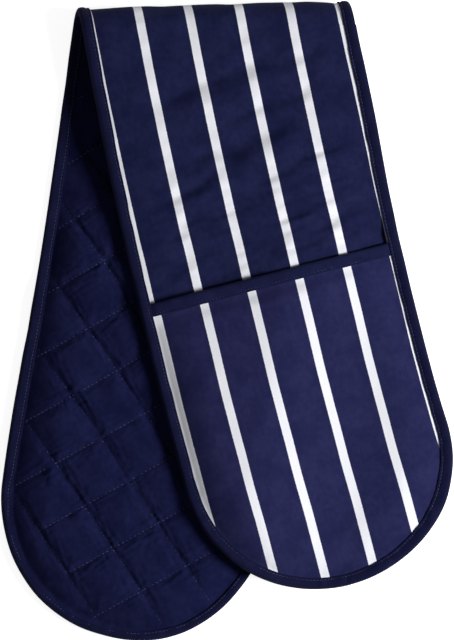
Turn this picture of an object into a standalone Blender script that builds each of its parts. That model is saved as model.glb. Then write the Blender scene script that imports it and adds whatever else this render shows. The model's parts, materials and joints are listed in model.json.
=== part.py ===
# Double oven glove: a padded strip with a hand pocket at each end, folded once and laid on a table.
# The striped faces and the pockets are outside, and the quilted backings face each other.
# The rear half lies underneath and the front half on top. The halves lean apart, so part of the
# front half drapes off the rear half onto the table.
# Frame: +Z up from the table, the fold runs along X, and both hand ends point towards -Y.

import math

import bmesh
import bpy

# Plan of the strip, in metres
half_width = 0.090  # centre line to bound edge
rear_length = 0.3197  # fold to the centre of the rear half's round end
front_length = 0.2918  # fold to the centre of the front half's round end
rear_sweep_radius = 6.126  # each centre line curves gently outwards
front_sweep_radius = 3.106
fold_lean = math.radians(8.65)  # how far each half leans from the square to the fold
pocket_length = 0.2153  # mouth to tip
front_mouth_slant = math.radians(1.3)
end_radius = half_width

# Layers
cloth_thickness = 0.0006
layer_gap = 0.0003
body_wadding = 0.0040
pocket_wadding = 0.0035
pressed_wadding = 0.0006  # under the binding
crown_width = 0.026  # from the binding to the full thickness
quilt_spacing = 0.0340  # between the lines of stitching, which cross in squares
quilt_dip = 0.0016  # depth of the channels along them
quilt_edge_margin = 0.012  # least distance from the outer edge to the quilting's grid
quilt_fold_margin = 0.012

# Binding
tape_thickness = 0.0008
binding_width = 0.0080
mouth_binding_width = 0.0089
binding_roll = 0.0022  # half axis of its rounded outer side
layer_inset = 0.0025  # the layers stop this far inside the outer edge
mouth_press_length = 0.010  # the pocket swells to its full thickness over this length

# Fold
fold_radius = 0.0155  # striped face round the fold
fold_hinges = 5
edge_drop = 0.0018  # striped cloth at the binding, below the crown of the face

# How it lies
hand_room = 0.0065  # height of the open hand space in the rear pocket
front_hand_room = 0.0080
table_clearance = 0.0010  # binding above the table
front_table_clearance = 0.0008
lie_gap = 0.0004  # between the two quilted backings
rise_start = 0.060  # where the rear half lifts off the table towards its pocket
rise_end_setback = 0.010
edge_rise_length = 0.040  # the binding thickens over this length before a pocket mouth
settle_length = 0.175  # the front half comes down to the rear half over this length
drape_inside = 0.020  # the drape starts this far inside the rear half's edge
drape_outside = 0.060  # and reaches the table this far outside it
droop_start = 0.040
droop_length = 0.150

# Hinge at the front pocket's mouth
end_hinge_setback = 0.006  # from the mouth towards the fold
end_hinge_rise = 0.0004  # above the highest cloth beside it

# Steps of the surfaces
edge_insets = (layer_inset, binding_width + layer_gap)
column_shares = (0.14, 0.34, 0.66, 0.93)  # from the binding's inner edge to the centre line
round_steps = 14
strip_rows = 3
puff_tolerance_share = 0.01  # a corner this near a line of quilting lies on it
fold_row_share = 0.5  # one slanting row between the fold and the first square one
front_row_shares = (0.10, 0.24, 0.38, 0.52, 0.64, 0.76, 0.84, 0.92)
end_row_shares = (0.18, 0.45, 0.72)

# Worked out from the sizes above
body_stack = 2 * cloth_thickness + body_wadding + 2 * layer_gap
pocket_stack = 2 * cloth_thickness + pocket_wadding + 2 * layer_gap
pressed_stack = 2 * cloth_thickness + pressed_wadding + 2 * layer_gap
binding_cover = tape_thickness + layer_gap
mouth_clearance = binding_cover + layer_gap
fold_shift = math.pi * fold_radius * math.tan(fold_lean) / 2
rear_raise = pocket_stack + hand_room
rear_pocket_edge = table_clearance + binding_cover
rest_height = rear_raise + body_stack + lie_gap
mouth_reach = mouth_binding_width + layer_gap
hinge_turn = math.pi / fold_hinges
quilt_step = quilt_spacing * math.sqrt(2) / 4
quilt_columns = round((half_width - quilt_edge_margin) / quilt_step - 0.5)
quilt_reach = rear_length - half_width * math.tan(fold_lean) - quilt_fold_margin
quilt_rows = math.floor(quilt_reach / quilt_step)
quilt_insets = tuple(
    half_width - quilt_step * (column + 0.5) for column in reversed(range(quilt_columns))
)
plain_insets = edge_insets + tuple(
    edge_insets[1] + (half_width - edge_insets[1]) * share for share in column_shares
)
cut_turn = layer_gap / (fold_radius - body_stack) / 2


def smooth(value):
    value = min(max(value, 0), 1)
    return value * value * (3 - 2 * value)


def mix(start, end, share):
    return start + (end - start) * share


def crown(inset):
    share = min(max((inset - binding_width - layer_gap) / crown_width, 0), 1)
    return 1 - (1 - share) ** 2


# One place on the strip: how far across and along it is, how far in from the outer edge,
# and where that lies in plan. On the fold, turn is the angle round it from the rear half.
class Spot:
    def __init__(self, half, across, along, inset, x, y, turn=0):
        self.half = half
        self.across = across
        self.along = along
        self.inset = inset
        self.x = x
        self.y = y
        self.turn = turn
        self.dip = 0


# One half of the strip. side is -1 for the rear half, which leans left and lies face down,
# and +1 for the front half, which leans right and lies face up.
class Half:
    def __init__(self, side, length, sweep_radius, mouth_slant):
        self.side = side
        self.length = length
        self.sweep_radius = sweep_radius
        self.mouth_slant = mouth_slant

    def mouth(self, across):
        middle = self.length + end_radius - pocket_length
        return middle - across * math.tan(self.mouth_slant)

    def lean(self, along):
        return fold_lean + max(along, 0) / self.sweep_radius

    def centre(self, along):
        lean = self.lean(along)
        x = fold_shift + self.sweep_radius * (math.cos(fold_lean) - math.cos(lean))
        y = -self.sweep_radius * (math.sin(lean) - math.sin(fold_lean))
        if along < 0:
            x += along * math.sin(fold_lean)
            y -= along * math.cos(fold_lean)
        return self.side * x, y

    def spot(self, across, along):
        x, y = self.centre(along)
        lean = self.lean(along)
        x += across * math.cos(lean)
        y += across * self.side * math.sin(lean)
        return Spot(self, across, along, half_width - abs(across), x, y)

    # The line where the flat half meets the fold.
    def fold_spot(self, across):
        along = across * self.side * math.tan(fold_lean)
        x = self.side * fold_shift + across / math.cos(fold_lean)
        return Spot(self, across, along, half_width - abs(across), x, 0)

    # The round end, by distance from its centre and angle from the right-hand side.
    def end_spot(self, radius, angle):
        x, y = self.centre(self.length)
        lean = self.lean(self.length)
        across = radius * math.cos(angle)
        beyond = radius * math.sin(angle)
        x += across * math.cos(lean) + beyond * self.side * math.sin(lean)
        y += across * self.side * math.sin(lean) - beyond * math.cos(lean)
        return Spot(self, across, self.length + beyond, end_radius - radius, x, y)

    # Distance in plan from this half's outer edge, positive outside it.
    def outside(self, x, y):
        centre_x = self.side * (fold_shift + self.sweep_radius * math.cos(fold_lean))
        centre_y = self.sweep_radius * math.sin(fold_lean)
        lean = math.atan2(centre_y - y, self.side * (centre_x - x))
        if lean > self.lean(self.length):
            end_x, end_y = self.centre(self.length)
            return math.hypot(x - end_x, y - end_y) - half_width
        distance = math.hypot(x - centre_x, y - centre_y)
        return abs(distance - self.sweep_radius) - half_width


rear = Half(-1, rear_length, rear_sweep_radius, 0)
front = Half(1, front_length, front_sweep_radius, front_mouth_slant)


# A line across the fold at one angle round it.
def fold_line_spot(across, turn):
    along = turn * fold_radius
    x = across / math.cos(fold_lean) - fold_shift + along * math.tan(fold_lean)
    return Spot(None, across, 0, half_width - abs(across), x, 0, turn)


# Height of the rear half's striped face above the table, away from the binding.
def rear_level(spot):
    rise_length = rear.mouth(0) - rise_end_setback - rise_start
    return rear_raise * smooth((spot.along - rise_start) / rise_length)


# Height of the front half's underside: from the fold down onto the rear half,
# and off its edge onto the table.
def front_base(x, y):
    down = -y
    loop_base = 2 * fold_radius - body_stack
    settled = mix(loop_base, rest_height, smooth(down / settle_length))
    outside = rear.outside(x, y)
    drape_share = smooth((outside + drape_inside) / (drape_inside + drape_outside))
    droop = (front_table_clearance - rest_height) * drape_share
    return settled + droop * smooth((down - droop_start) / droop_length)


def face_level(spot):
    if spot.half is rear:
        return rear_level(spot)
    return front_base(spot.x, spot.y) + body_stack


# Turns a depth behind the striped face into a point.
def place(spot, depth):
    if spot.half is None:
        radius = fold_radius - depth
        y = radius * math.sin(spot.turn)
        return spot.x, y, fold_radius - radius * math.cos(spot.turn)
    return spot.x, spot.y, face_level(spot) - spot.half.side * depth


# 0 in the middle of the strip and 1 from the pocket mouth to the tip.
def mouth_share(spot):
    if spot.half is None:
        return 0
    start = spot.half.mouth(spot.across) - edge_rise_length
    return smooth((spot.along - start) / edge_rise_length)


# 0 beside the mouth binding and 1 where the pocket has its full thickness.
def swell_share(spot):
    start = spot.half.mouth(spot.across) + mouth_reach
    return smooth((spot.along - start) / mouth_press_length)


# Gap between body and pocket at the outer edge. It is wider beside the mouth binding.
def edge_room(spot):
    if spot.half is None:
        return mouth_clearance
    return mix(mouth_clearance, layer_gap, swell_share(spot))


# Depth of the striped cloth's face at the outer edge.
def edge_depth(spot):
    if spot.half is not rear:
        return edge_drop
    lifted = rear_pocket_edge + pressed_stack + edge_room(spot)
    return mix(edge_drop, lifted, mouth_share(spot)) - rear_level(spot)


def face_depth(spot):
    return edge_depth(spot) * (1 - crown(spot.inset))


def body_wadding_at(spot):
    return mix(pressed_wadding, body_wadding, crown(spot.inset)) - spot.dip


# 0 on a line of quilting and 1 midway between two. The lines run both ways at 45 degrees to
# the strip, and their crossings fall on the rows and columns of the quilted panel.
def puff(spot):
    shares = []
    for direction, offset in ((1, 1.5), (-1, 0.5)):
        steps = (spot.along + direction * spot.across - rear_length) / quilt_step + offset
        shares.append(abs((steps + 2) % 4 - 2) / 2)
    return min(shares)


def quilt_dip_at(spot):
    return quilt_dip * crown(spot.inset) * (1 - math.sin(math.pi / 2 * puff(spot)))


def pocket_wadding_at(spot):
    return mix(pressed_wadding, pocket_wadding, crown(spot.inset) * swell_share(spot))


def pocket_stack_at(spot):
    return 2 * cloth_thickness + 2 * layer_gap + pocket_wadding_at(spot)


# Depth of the pocket's outer face, which is negative because it lies in front of the body's.
# The rear pocket is pressed flat on the table, and the front one is arched.
def pocket_face_depth(spot):
    if spot.half is rear:
        flat = crown(spot.inset) * swell_share(spot)
        return rear_pocket_edge * (1 - flat) - rear_level(spot)
    room = mix(edge_room(spot), front_hand_room, crown(spot.inset))
    return face_depth(spot) - room - pocket_stack_at(spot)


# The layers of the body, each as the depths of its outer and inner face.
def striped_cloth_depths(spot):
    outer = face_depth(spot)
    return outer, outer + cloth_thickness


def wadding_depths(spot):
    outer = striped_cloth_depths(spot)[1] + layer_gap
    return outer, outer + body_wadding_at(spot)


def backing_depths(spot):
    outer = wadding_depths(spot)[1] + layer_gap
    return outer, outer + cloth_thickness


# The layers of a pocket.
def pocket_cloth_depths(spot):
    outer = pocket_face_depth(spot)
    return outer, outer + cloth_thickness


def pocket_wadding_depths(spot):
    outer = pocket_cloth_depths(spot)[1] + layer_gap
    return outer, outer + pocket_wadding_at(spot)


def pocket_lining_depths(spot):
    outer = pocket_wadding_depths(spot)[1] + layer_gap
    return outer, outer + cloth_thickness


# The two outer faces of the edge binding.
def binding_depths(spot):
    edge = edge_depth(spot)
    pocket = mouth_share(spot) * (pressed_stack + edge_room(spot))
    return edge - binding_cover - pocket, edge + pressed_stack + binding_cover


# A run of lines across the strip, each a function from across to Spot,
# with the round end of one half after the last line if there is one.
class Panel:
    def __init__(self, lines, end_half=None, insets=plain_insets, quilted=False):
        self.lines = lines
        self.end_half = end_half
        self.insets = insets
        self.quilted = quilted

    def columns(self):
        left = [inset - half_width for inset in self.insets]
        return left + [-across for across in reversed(left)]

    # Spots and triangles of a sheet over the panel.
    def sheet(self):
        columns = self.columns()
        count = len(columns)
        spots = [line(across) for line in self.lines for across in columns]
        faces = []
        for row in range(len(self.lines) - 1):
            for column in range(count - 1):
                a = row * count + column
                corners = (a, a + 1, a + count + 1, a + count)
                faces += self.split(corners, [spots[corner] for corner in corners])
        if self.end_half:
            self.add_round_end(spots, faces, (len(self.lines) - 1) * count)
        if self.quilted:
            for spot in spots:
                spot.dip = quilt_dip_at(spot)
        return spots, faces

    # Two triangles, along the other diagonal where a line of quilting runs along it.
    def split(self, corners, spots):
        a, b, c, d = corners
        on_line = [puff(spot) < puff_tolerance_share for spot in spots]
        inside = min(spot.inset for spot in spots) > binding_width + layer_gap
        if self.quilted and inside and on_line[1] and on_line[3]:
            return [(a, b, d), (b, c, d)]
        return [(a, b, c), (a, c, d)]

    def add_round_end(self, spots, faces, last_row):
        rings = len(self.insets)
        spokes = [[last_row + 2 * rings - 1 - ring for ring in range(rings)]]
        for step in range(1, round_steps):
            spokes.append(list(range(len(spots), len(spots) + rings)))
            angle = math.pi * step / round_steps
            for inset in self.insets:
                spots.append(self.end_half.end_spot(end_radius - inset, angle))
        spokes.append([last_row + ring for ring in range(rings)])
        middle = spokes[-1][-1]
        for first, second in zip(spokes, spokes[1:]):
            for ring in range(rings - 1):
                faces.append((first[ring], second[ring], first[ring + 1]))
                faces.append((second[ring], second[ring + 1], first[ring + 1]))
            if second[-1] != middle:
                faces.append((first[-1], second[-1], middle))

    # The outer edge as functions from inset to Spot, always clockwise seen from above the
    # striped face: up to the tip on the left, back from it on the right, or all the way round.
    def edge(self, side):
        def on_line(line):
            return lambda inset: line(side * (half_width - inset))

        stops = [on_line(line) for line in self.lines]
        return stops if side < 0 else stops[::-1]

    def edge_round(self):
        def on_end(angle):
            return lambda inset: self.end_half.end_spot(end_radius - inset, angle)

        steps = range(round_steps - 1, 0, -1)
        tip = [on_end(math.pi * step / round_steps) for step in steps]
        return self.edge(-1) + tip + self.edge(1)


# Bodies: an empty on each joint's axis carries the pieces that move with it.
anchors = {}


def add_body(name, anchor, parent=None):
    body = bpy.data.objects.new(name, None)
    body.empty_display_size = half_width
    bpy.context.scene.collection.objects.link(body)
    anchors[name] = anchor
    start = anchors[parent.name] if parent else (0, 0, 0)
    body.location = [end - begin for begin, end in zip(start, anchor)]
    body.parent = parent
    return body


def add_material(name, colour, roughness):
    material = bpy.data.materials.new(name)
    material.use_nodes = True
    shader = material.node_tree.nodes["Principled BSDF"]
    shader.inputs["Base Color"].default_value = (*colour, 1)
    shader.inputs["Roughness"].default_value = roughness
    shader.inputs["Metallic"].default_value = 0
    material.diffuse_color = (*colour, 1)
    return material


def add_piece(name, points, faces, body, material):
    shape = bmesh.new()
    anchor = anchors[body.name]
    corners = [shape.verts.new([p - a for p, a in zip(point, anchor)]) for point in points]
    for face in faces:
        shape.faces.new([corners[index] for index in face])
    bmesh.ops.recalc_face_normals(shape, faces=shape.faces)
    mesh = bpy.data.meshes.new(name)
    shape.to_mesh(mesh)
    shape.free()
    mesh.shade_smooth()
    mesh.set_sharp_from_angle(angle=math.radians(50))
    mesh.materials.append(material)
    piece = bpy.data.objects.new(name, mesh)
    bpy.context.scene.collection.objects.link(piece)
    piece.parent = body
    return piece


# A layer of cloth or wadding over a panel, between two depths.
def add_layer(name, panel, depths, body, material):
    spots, faces = panel.sheet()
    count = len(spots)
    points = [place(spot, depths(spot)[0]) for spot in spots]
    points += [place(spot, depths(spot)[1]) for spot in spots]
    inner = [tuple(index + count for index in reversed(face)) for face in faces]
    directed = {(face[i], face[(i + 1) % 3]) for face in faces for i in range(3)}
    rim = [(b, a, a + count, b + count) for a, b in directed if (b, a) not in directed]
    add_piece(name, points, faces + inner + sorted(rim), body, material)


# Section of a folded tape: distance in from its outer edge, and share of the way
# from its outer lip to its inner lip, with the tape's own thickness as a third value.
def tape_section(width):
    roll = []
    for step in range(5):
        angle = math.pi * step / 4
        roll.append((binding_roll * (1 - math.sin(angle)), (1 - math.cos(angle)) / 2, 0))
    slot = layer_inset - layer_gap
    return roll + [(width, 1, 0), (width, 1, -1), (slot, 1, -1), (slot, 0, 1), (width, 0, 1), (width, 0, 0)]


# A folded tape along a path. Each stop of the path turns an inset and a depth into a point.
def add_tape(name, stops, width, body, material):
    section = tape_section(width)
    count = len(section)
    points = []
    for stop, depths in stops:
        for inset, share, side in section:
            spot = stop(inset)
            outer, inner = depths(spot)
            points.append(place(spot, mix(outer, inner, share) + side * tape_thickness))
    # Each face is split along the diagonal that the layers inside the tape have.
    faces = []
    last = (len(stops) - 1) * count
    for start in range(0, last, count):
        for corner in range(count):
            after = (corner + 1) % count
            a, b = start + corner, start + after
            if section[corner][0] <= section[after][0]:
                faces += [(a, b, b + count), (a, b + count, a + count)]
            else:
                faces += [(b, b + count, a + count), (b, a + count, a)]
    # The section is not convex, so each end is closed as two lips and the roll between them.
    for start in (0, last):
        faces.append([start + index for index in (0, 1, 2, 3, 4, 7, 8)])
        faces.append([start + index for index in (4, 5, 6, 7)])
        faces.append([start + index for index in (8, 9, 10, 0)])
    add_piece(name, points, faces, body, material)


def add_edge_binding(name, edge, body, material):
    add_tape(name, [(stop, binding_depths) for stop in edge], binding_width, body, material)


def add_mouth_binding(name, half, body, material):
    def mouth_stop(across):
        return lambda inset: half.spot(across, half.mouth(across) + inset)

    def depths(spot):
        outer = pocket_face_depth(spot)
        return outer - binding_cover, outer + pressed_stack + binding_cover

    reach = half_width - binding_width - 2 * layer_gap
    left = [-reach] + [inset - half_width for inset in plain_insets[len(edge_insets):]]
    columns = left + [-across for across in reversed(left)]
    stops = [(mouth_stop(across), depths) for across in columns]
    add_tape(name, stops, mouth_binding_width, body, material)


def fold_lines(start, end, rows):
    def line(turn):
        return lambda across: fold_line_spot(across, turn)

    return [line(mix(start, end, row / (rows - 1))) for row in range(rows)]


# Lines from the fold towards the pocket mouth, turning from the fold's direction to the mouth's.
def band_lines(half, shares):
    def line(share):
        return lambda across: half.spot(
            across, mix(half.fold_spot(across).along, half.mouth(across), share)
        )

    return [line(share) for share in shares]


# Square lines on the crossings of the quilting, and one between them and the fold.
def quilt_lines(half):
    def slanting(share):
        first = half.length - quilt_rows * quilt_step
        return lambda across: half.spot(across, mix(half.fold_spot(across).along, first, share))

    def square(row):
        return lambda across: half.spot(across, half.length - row * quilt_step)

    return [slanting(fold_row_share)] + [square(row) for row in range(quilt_rows, -1, -1)]


def mouth_line(half, setback):
    return lambda across: half.spot(across, half.mouth(across) + setback)


# Lines from the pocket mouth to the centre of the round end.
def end_lines(half, setback):
    swollen = mouth_reach + mouth_press_length
    setbacks = (setback, mouth_reach, mix(mouth_reach, swollen, 0.5), swollen)
    start = half.mouth(0) + swollen

    def line(share):
        return lambda across: half.spot(across, mix(start, half.length, share))

    plain = [line(share) for share in end_row_shares + (1,)]
    return [mouth_line(half, value) for value in setbacks] + plain


def add_body_layers(name, panel, body):
    add_layer(name + "_striped_cloth", panel, striped_cloth_depths, body, striped_cloth)
    add_layer(name + "_wadding", panel, wadding_depths, body, wadding)
    add_layer(name + "_quilted_backing", panel, backing_depths, body, plain_cloth)


def add_pocket(name, half, body):
    panel = Panel(end_lines(half, layer_inset), half)
    add_layer(name + "_pocket_cloth", panel, pocket_cloth_depths, body, striped_cloth)
    add_layer(name + "_pocket_wadding", panel, pocket_wadding_depths, body, wadding)
    add_layer(name + "_pocket_lining", panel, pocket_lining_depths, body, plain_cloth)
    add_mouth_binding(name + "_mouth_binding", half, body, binding_tape)


def hinge_anchor(turn):
    return 0, fold_radius * math.sin(turn), fold_radius * (1 - math.cos(turn))


# Moves the whole part so that its origin is below the middle of its box, on the table.
def centre_on_table(root):
    bpy.context.view_layer.update()
    corners = [
        piece.matrix_world @ vertex.co
        for piece in bpy.context.scene.objects
        if piece.type == "MESH"
        for vertex in piece.data.vertices
    ]
    for axis in range(2):
        values = [corner[axis] for corner in corners]
        root.location[axis] -= (min(values) + max(values)) / 2


for old in list(bpy.data.objects):
    bpy.data.objects.remove(old)

striped_cloth = add_material("striped_cloth", (0.012, 0.012, 0.055), 0.85)
plain_cloth = add_material("plain_cloth", (0.006, 0.006, 0.040), 0.9)
binding_tape = add_material("binding_tape", (0.007, 0.007, 0.040), 0.85)
wadding = add_material("wadding", (0.80, 0.79, 0.76), 0.95)

# Rear half, underneath, with the first part of the fold.
rear_half = add_body("rear_half", (0, 0, 0))
rear_lines = fold_lines(hinge_turn / 2 - cut_turn, 0, strip_rows) + quilt_lines(rear)
rear_panel = Panel(rear_lines, rear, edge_insets + quilt_insets, quilted=True)
add_body_layers("rear", rear_panel, rear_half)
add_edge_binding("rear_edge_binding", rear_panel.edge_round(), rear_half, binding_tape)
add_pocket("rear", rear, rear_half)

# Strips of the fold, each turning on the striped face of the one before it.
last_body = rear_half
for number in range(1, fold_hinges):
    start_turn = hinge_turn * (number - 0.5)
    strip = add_body("fold_strip_%d" % number, hinge_anchor(start_turn), last_body)
    panel = Panel(fold_lines(start_turn + cut_turn, start_turn + hinge_turn - cut_turn, strip_rows))
    add_body_layers("fold_%d" % number, panel, strip)
    add_edge_binding("fold_%d_left_binding" % number, panel.edge(-1), strip, binding_tape)
    add_edge_binding("fold_%d_right_binding" % number, panel.edge(1), strip, binding_tape)
    last_body = strip

# Front half between the fold and the pocket mouth.
front_start = math.pi - hinge_turn / 2
front_band = add_body("front_band", hinge_anchor(front_start), last_body)
front_lines = fold_lines(front_start + cut_turn, math.pi, strip_rows) + band_lines(front, front_row_shares)
cut_setback = end_hinge_setback + layer_gap / 2
band_panel = Panel(front_lines + [mouth_line(front, -cut_setback)])
add_body_layers("front_band", band_panel, front_band)
add_edge_binding("front_band_left_binding", band_panel.edge(-1), front_band, binding_tape)
add_edge_binding("front_band_right_binding", band_panel.edge(1), front_band, binding_tape)

# Front hand end, which lifts about a line across the strip beside the pocket mouth.
hinge_middle = front.spot(0, front.mouth(0) - end_hinge_setback)
highest_cloth = rest_height + body_stack - edge_drop + binding_cover + pressed_stack + mouth_clearance
hinge_point = (hinge_middle.x, hinge_middle.y, highest_cloth + end_hinge_rise)
front_hand_end = add_body("front_hand_end", hinge_point, front_band)
end_panel = Panel([mouth_line(front, layer_gap - cut_setback)] + end_lines(front, 0), front)
add_body_layers("front_end", end_panel, front_hand_end)
add_edge_binding("front_end_edge_binding", end_panel.edge_round(), front_hand_end, binding_tape)
add_pocket("front", front, front_hand_end)

centre_on_table(rear_half)
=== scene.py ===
import json
import math
from functools import reduce
from operator import add

import bpy
import numpy as np
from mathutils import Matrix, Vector
from mathutils.geometry import delaunay_2d_cdt

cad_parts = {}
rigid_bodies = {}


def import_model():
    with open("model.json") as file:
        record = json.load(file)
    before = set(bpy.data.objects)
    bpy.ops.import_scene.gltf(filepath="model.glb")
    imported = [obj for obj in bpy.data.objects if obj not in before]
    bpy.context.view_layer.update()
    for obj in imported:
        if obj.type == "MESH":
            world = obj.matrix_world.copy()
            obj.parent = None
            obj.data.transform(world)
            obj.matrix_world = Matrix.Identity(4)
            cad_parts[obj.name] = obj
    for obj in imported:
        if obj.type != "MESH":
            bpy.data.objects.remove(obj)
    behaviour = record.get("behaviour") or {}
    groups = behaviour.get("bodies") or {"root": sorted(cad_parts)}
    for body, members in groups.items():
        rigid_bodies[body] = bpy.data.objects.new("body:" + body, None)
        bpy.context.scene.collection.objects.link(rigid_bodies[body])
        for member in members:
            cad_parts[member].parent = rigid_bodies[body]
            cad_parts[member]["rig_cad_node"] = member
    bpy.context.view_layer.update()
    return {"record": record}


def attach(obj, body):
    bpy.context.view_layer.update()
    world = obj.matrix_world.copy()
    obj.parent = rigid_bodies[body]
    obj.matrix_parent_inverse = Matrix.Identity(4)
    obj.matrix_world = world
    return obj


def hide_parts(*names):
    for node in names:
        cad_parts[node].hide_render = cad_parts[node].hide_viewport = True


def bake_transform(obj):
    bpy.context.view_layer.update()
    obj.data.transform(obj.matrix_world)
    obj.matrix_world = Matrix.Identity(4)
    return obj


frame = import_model()
record = frame["record"]
joints = {joint["name"]: joint for joint in record["behaviour"]["joints"]}

# The strip in plan, in metres: the same sizes as the solids.
plan = {
    "halfWidth": 0.090,
    "length": {-1: 0.3210, 1: 0.2918},  # fold to the centre of the round end, rear and front
    "sweep": {-1: 6.126, 1: 3.106},
    "lean": math.radians(8.65),
    "pocketLength": 0.2153,
    "mouthSlant": {-1: 0.0, 1: math.radians(1.3)},
    "foldRadius": 0.0155,
    "folds": 5,
    "foldSpring": 1.10,  # the fold stands a little further out than a half circle
}
halfWidth, foldRadius, lean = plan["halfWidth"], plan["foldRadius"], plan["lean"]
leanSlope, leanCos, leanSin = math.tan(lean), math.cos(lean), math.sin(lean)
# Where the real outline is fuller than straight sides and half circles. A turn is an angle round
# the end, a spread and a share. A side is its sign, the distance from the fold, a spread and a share.
fuller = {
    "turns": {1: ((0.55, 0.50, 0.030),), -1: ((1.10, 0.40, 0.020), (2.75, 0.40, -0.012))},
    "sides": {1: ((1, 0.075, 0.050, 0.018),), -1: ((-1, 0.27, 0.06, 0.018),)},
    "sharpness": 4,  # how closely the fullness keeps to the edge
}
layers = {
    "cloth": 0.0006,
    "gap": 0.0003,
    "wadding": 0.0040,
    "pocketWadding": 0.0035,
    "pressed": 0.0006,
    "crown": 0.026,
    "edgeDrop": 0.0018,
    "inside": 0.0001,  # how far a backing lies inside the solids' own
}
tape = {
    "thickness": 0.0008,
    "width": 0.0080,
    "mouthWidth": 0.0089,
    "endWidth": 0.0055,  # what shows on the quilted side round the ends
    "roll": 0.0022,
    "layerInset": 0.0025,
    "pressLength": 0.010,
}
lie = {
    "handRoom": 0.0065,
    "frontRoom": 0.0048,
    "mouthRoom": 0.0016,
    "mouthRise": 0.070,
    "clear": 0.0010,
    "frontClear": 0.0008,
    "gap": 0.0004,
    "riseStart": 0.060,
    "riseSetback": 0.010,
    "edgeRise": 0.022,
    "settle": 0.175,
    "drapeIn": 0.020,
    "drapeOut": 0.060,
    "droopStart": 0.040,
    "droop": 0.150,
    "bendSetback": 0.006,
}
bodyStack = 2 * layers["cloth"] + layers["wadding"] + 2 * layers["gap"]
pocketStack = 2 * layers["cloth"] + layers["pocketWadding"] + 2 * layers["gap"]
pressedStack = 2 * layers["cloth"] + layers["pressed"] + 2 * layers["gap"]
tapeCover = tape["thickness"] + layers["gap"]
mouthClear = tapeCover + layers["gap"]
foldShift = math.pi * foldRadius * leanSlope / 2
foldPath = math.pi * foldRadius / leanCos  # along the strip, round the fold
rearRaise = pocketStack + lie["handRoom"]
pocketEdge = lie["clear"] + tapeCover
restHeight = rearRaise + bodyStack + lie["gap"]
mouthReach = tape["mouthWidth"] + layers["gap"]
foldStep = math.pi / plan["folds"]
cutsAt = foldPath * np.arange(plan["folds"] + 1) / plan["folds"]
tiny = 1e-12  # keeps a division by nothing away


def smooth(value):
    value = np.clip(value, 0, 1)
    return value * value * (3 - 2 * value)


def mix(start, end, share):
    return start + (end - start) * share


noiseTable = {"cells": 64, "shifts": (1000.37, 1000.71)}


# Even, repeatable noise between -1 and 1 over two coordinates.
def ripple(a, b, size, seed):
    cells = noiseTable["cells"]
    table = np.random.RandomState(seed).uniform(-1, 1, (cells, cells))
    a, b = [np.asarray(value) / size + shift for value, shift in zip((a, b), noiseTable["shifts"])]
    i, j = np.floor(a).astype(int), np.floor(b).astype(int)
    u, v = smooth(a - i), smooth(b - j)
    i, j, nextI, nextJ = [index % cells for index in (i, j, i + 1, j + 1)]
    return mix(mix(table[i, j], table[nextI, j], u), mix(table[i, nextJ], table[nextI, nextJ], u), v)


# Settings for noise list the middling value, the change either way, the size and the seed.
def varied(a, b, middling, change, size, seed):
    return middling + change * ripple(a, b, size, seed)


# Noise along numbered lines, which differ more the further apart they are set.
def alongLines(run, number, firstSeed, middling, change, size, seed, apart):
    return varied(run, number * apart, middling, change, size, firstSeed + seed)


# Places on the strip: side (-1 rear, 0 fold, 1 front), across, along, inset from the outer edge,
# plan position, and the angle round the fold.
class Places:
    def __init__(self, side, across, along, inset, x, y, turn):
        values = np.broadcast_arrays(side, across, along, inset, x, y, turn)
        self.side, self.across, self.along, self.inset, self.x, self.y, self.turn = [
            np.array(value, float) for value in values
        ]

    def fields(self):
        return self.side, self.across, self.along, self.inset, self.x, self.y, self.turn

    def picked(self, rows):
        return Places(*[field[rows] for field in self.fields()])

    # Length along the unrolled strip, from the rear tip to the front tip.
    def strip(self):
        slanted = self.across * leanSlope
        onFold = slanted + self.turn * foldRadius / leanCos
        return np.where(self.side < 0, -self.along, np.where(self.side > 0, self.along + foldPath, onFold))


def joined(parts):
    return Places(*[np.concatenate(fields) for fields in zip(*[part.fields() for part in parts])])


def centreLine(side, along):
    sweep = plan["sweep"][side]
    angle = lean + np.maximum(along, 0) / sweep
    x = foldShift + sweep * (leanCos - np.cos(angle)) + np.minimum(along, 0) * leanSin
    y = -sweep * (np.sin(angle) - leanSin) - np.minimum(along, 0) * leanCos
    return side * x, y, angle


# How much further out a place is than the plain outline has it, across and along.
def fullness(side, across, along):
    beyond = along - plan["length"][side]
    angle = np.arctan2(beyond, across)
    grown, wider = 0, 0
    for turn, spread, share in fuller["turns"][side]:
        grown = grown + share * np.exp(-2 * (1 - np.cos(angle - turn)) / spread ** 2)
    for sign, place, spread, share in fuller["sides"][side]:
        bump = np.exp(-(((along - place) / spread) ** 2))
        wider = wider + share * bump * smooth(sign * across / halfWidth)
    out = np.hypot(across, np.maximum(beyond, 0)) / halfWidth
    kept = out ** fuller["sharpness"]
    return across * (grown + wider) * kept, beyond * grown * kept


def onHalf(side, across, along):
    beyond = np.maximum(along - plan["length"][side], 0)
    x, y, angle = centreLine(side, along - beyond)
    outward, onward = fullness(side, across, along)
    outward, onward = across + outward, beyond + onward
    x = x + outward * np.cos(angle) + onward * side * np.sin(angle)
    return x, y + outward * side * np.sin(angle) - onward * np.cos(angle)


def flatPlaces(side, across, along):
    x, y = onHalf(side, across, along)
    return Places(side, across, along, halfWidth - np.abs(across), x, y, 0)


def endPlaces(side, radius, angle):
    across, along = radius * np.cos(angle), plan["length"][side] + radius * np.sin(angle)
    x, y = onHalf(side, across, along)
    return Places(side, across, along, halfWidth - radius, x, y, 0)


def foldPlaces(across, turn):
    x = across / leanCos - foldShift + turn * foldRadius * leanSlope
    return Places(0, across, 0, halfWidth - np.abs(across), x, 0, turn)


def foldAlong(side, across):
    return across * side * leanSlope


def mouthAlong(side, across):
    middle = plan["length"][side] + halfWidth - plan["pocketLength"]
    return middle - across * math.tan(plan["mouthSlant"][side])


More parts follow.
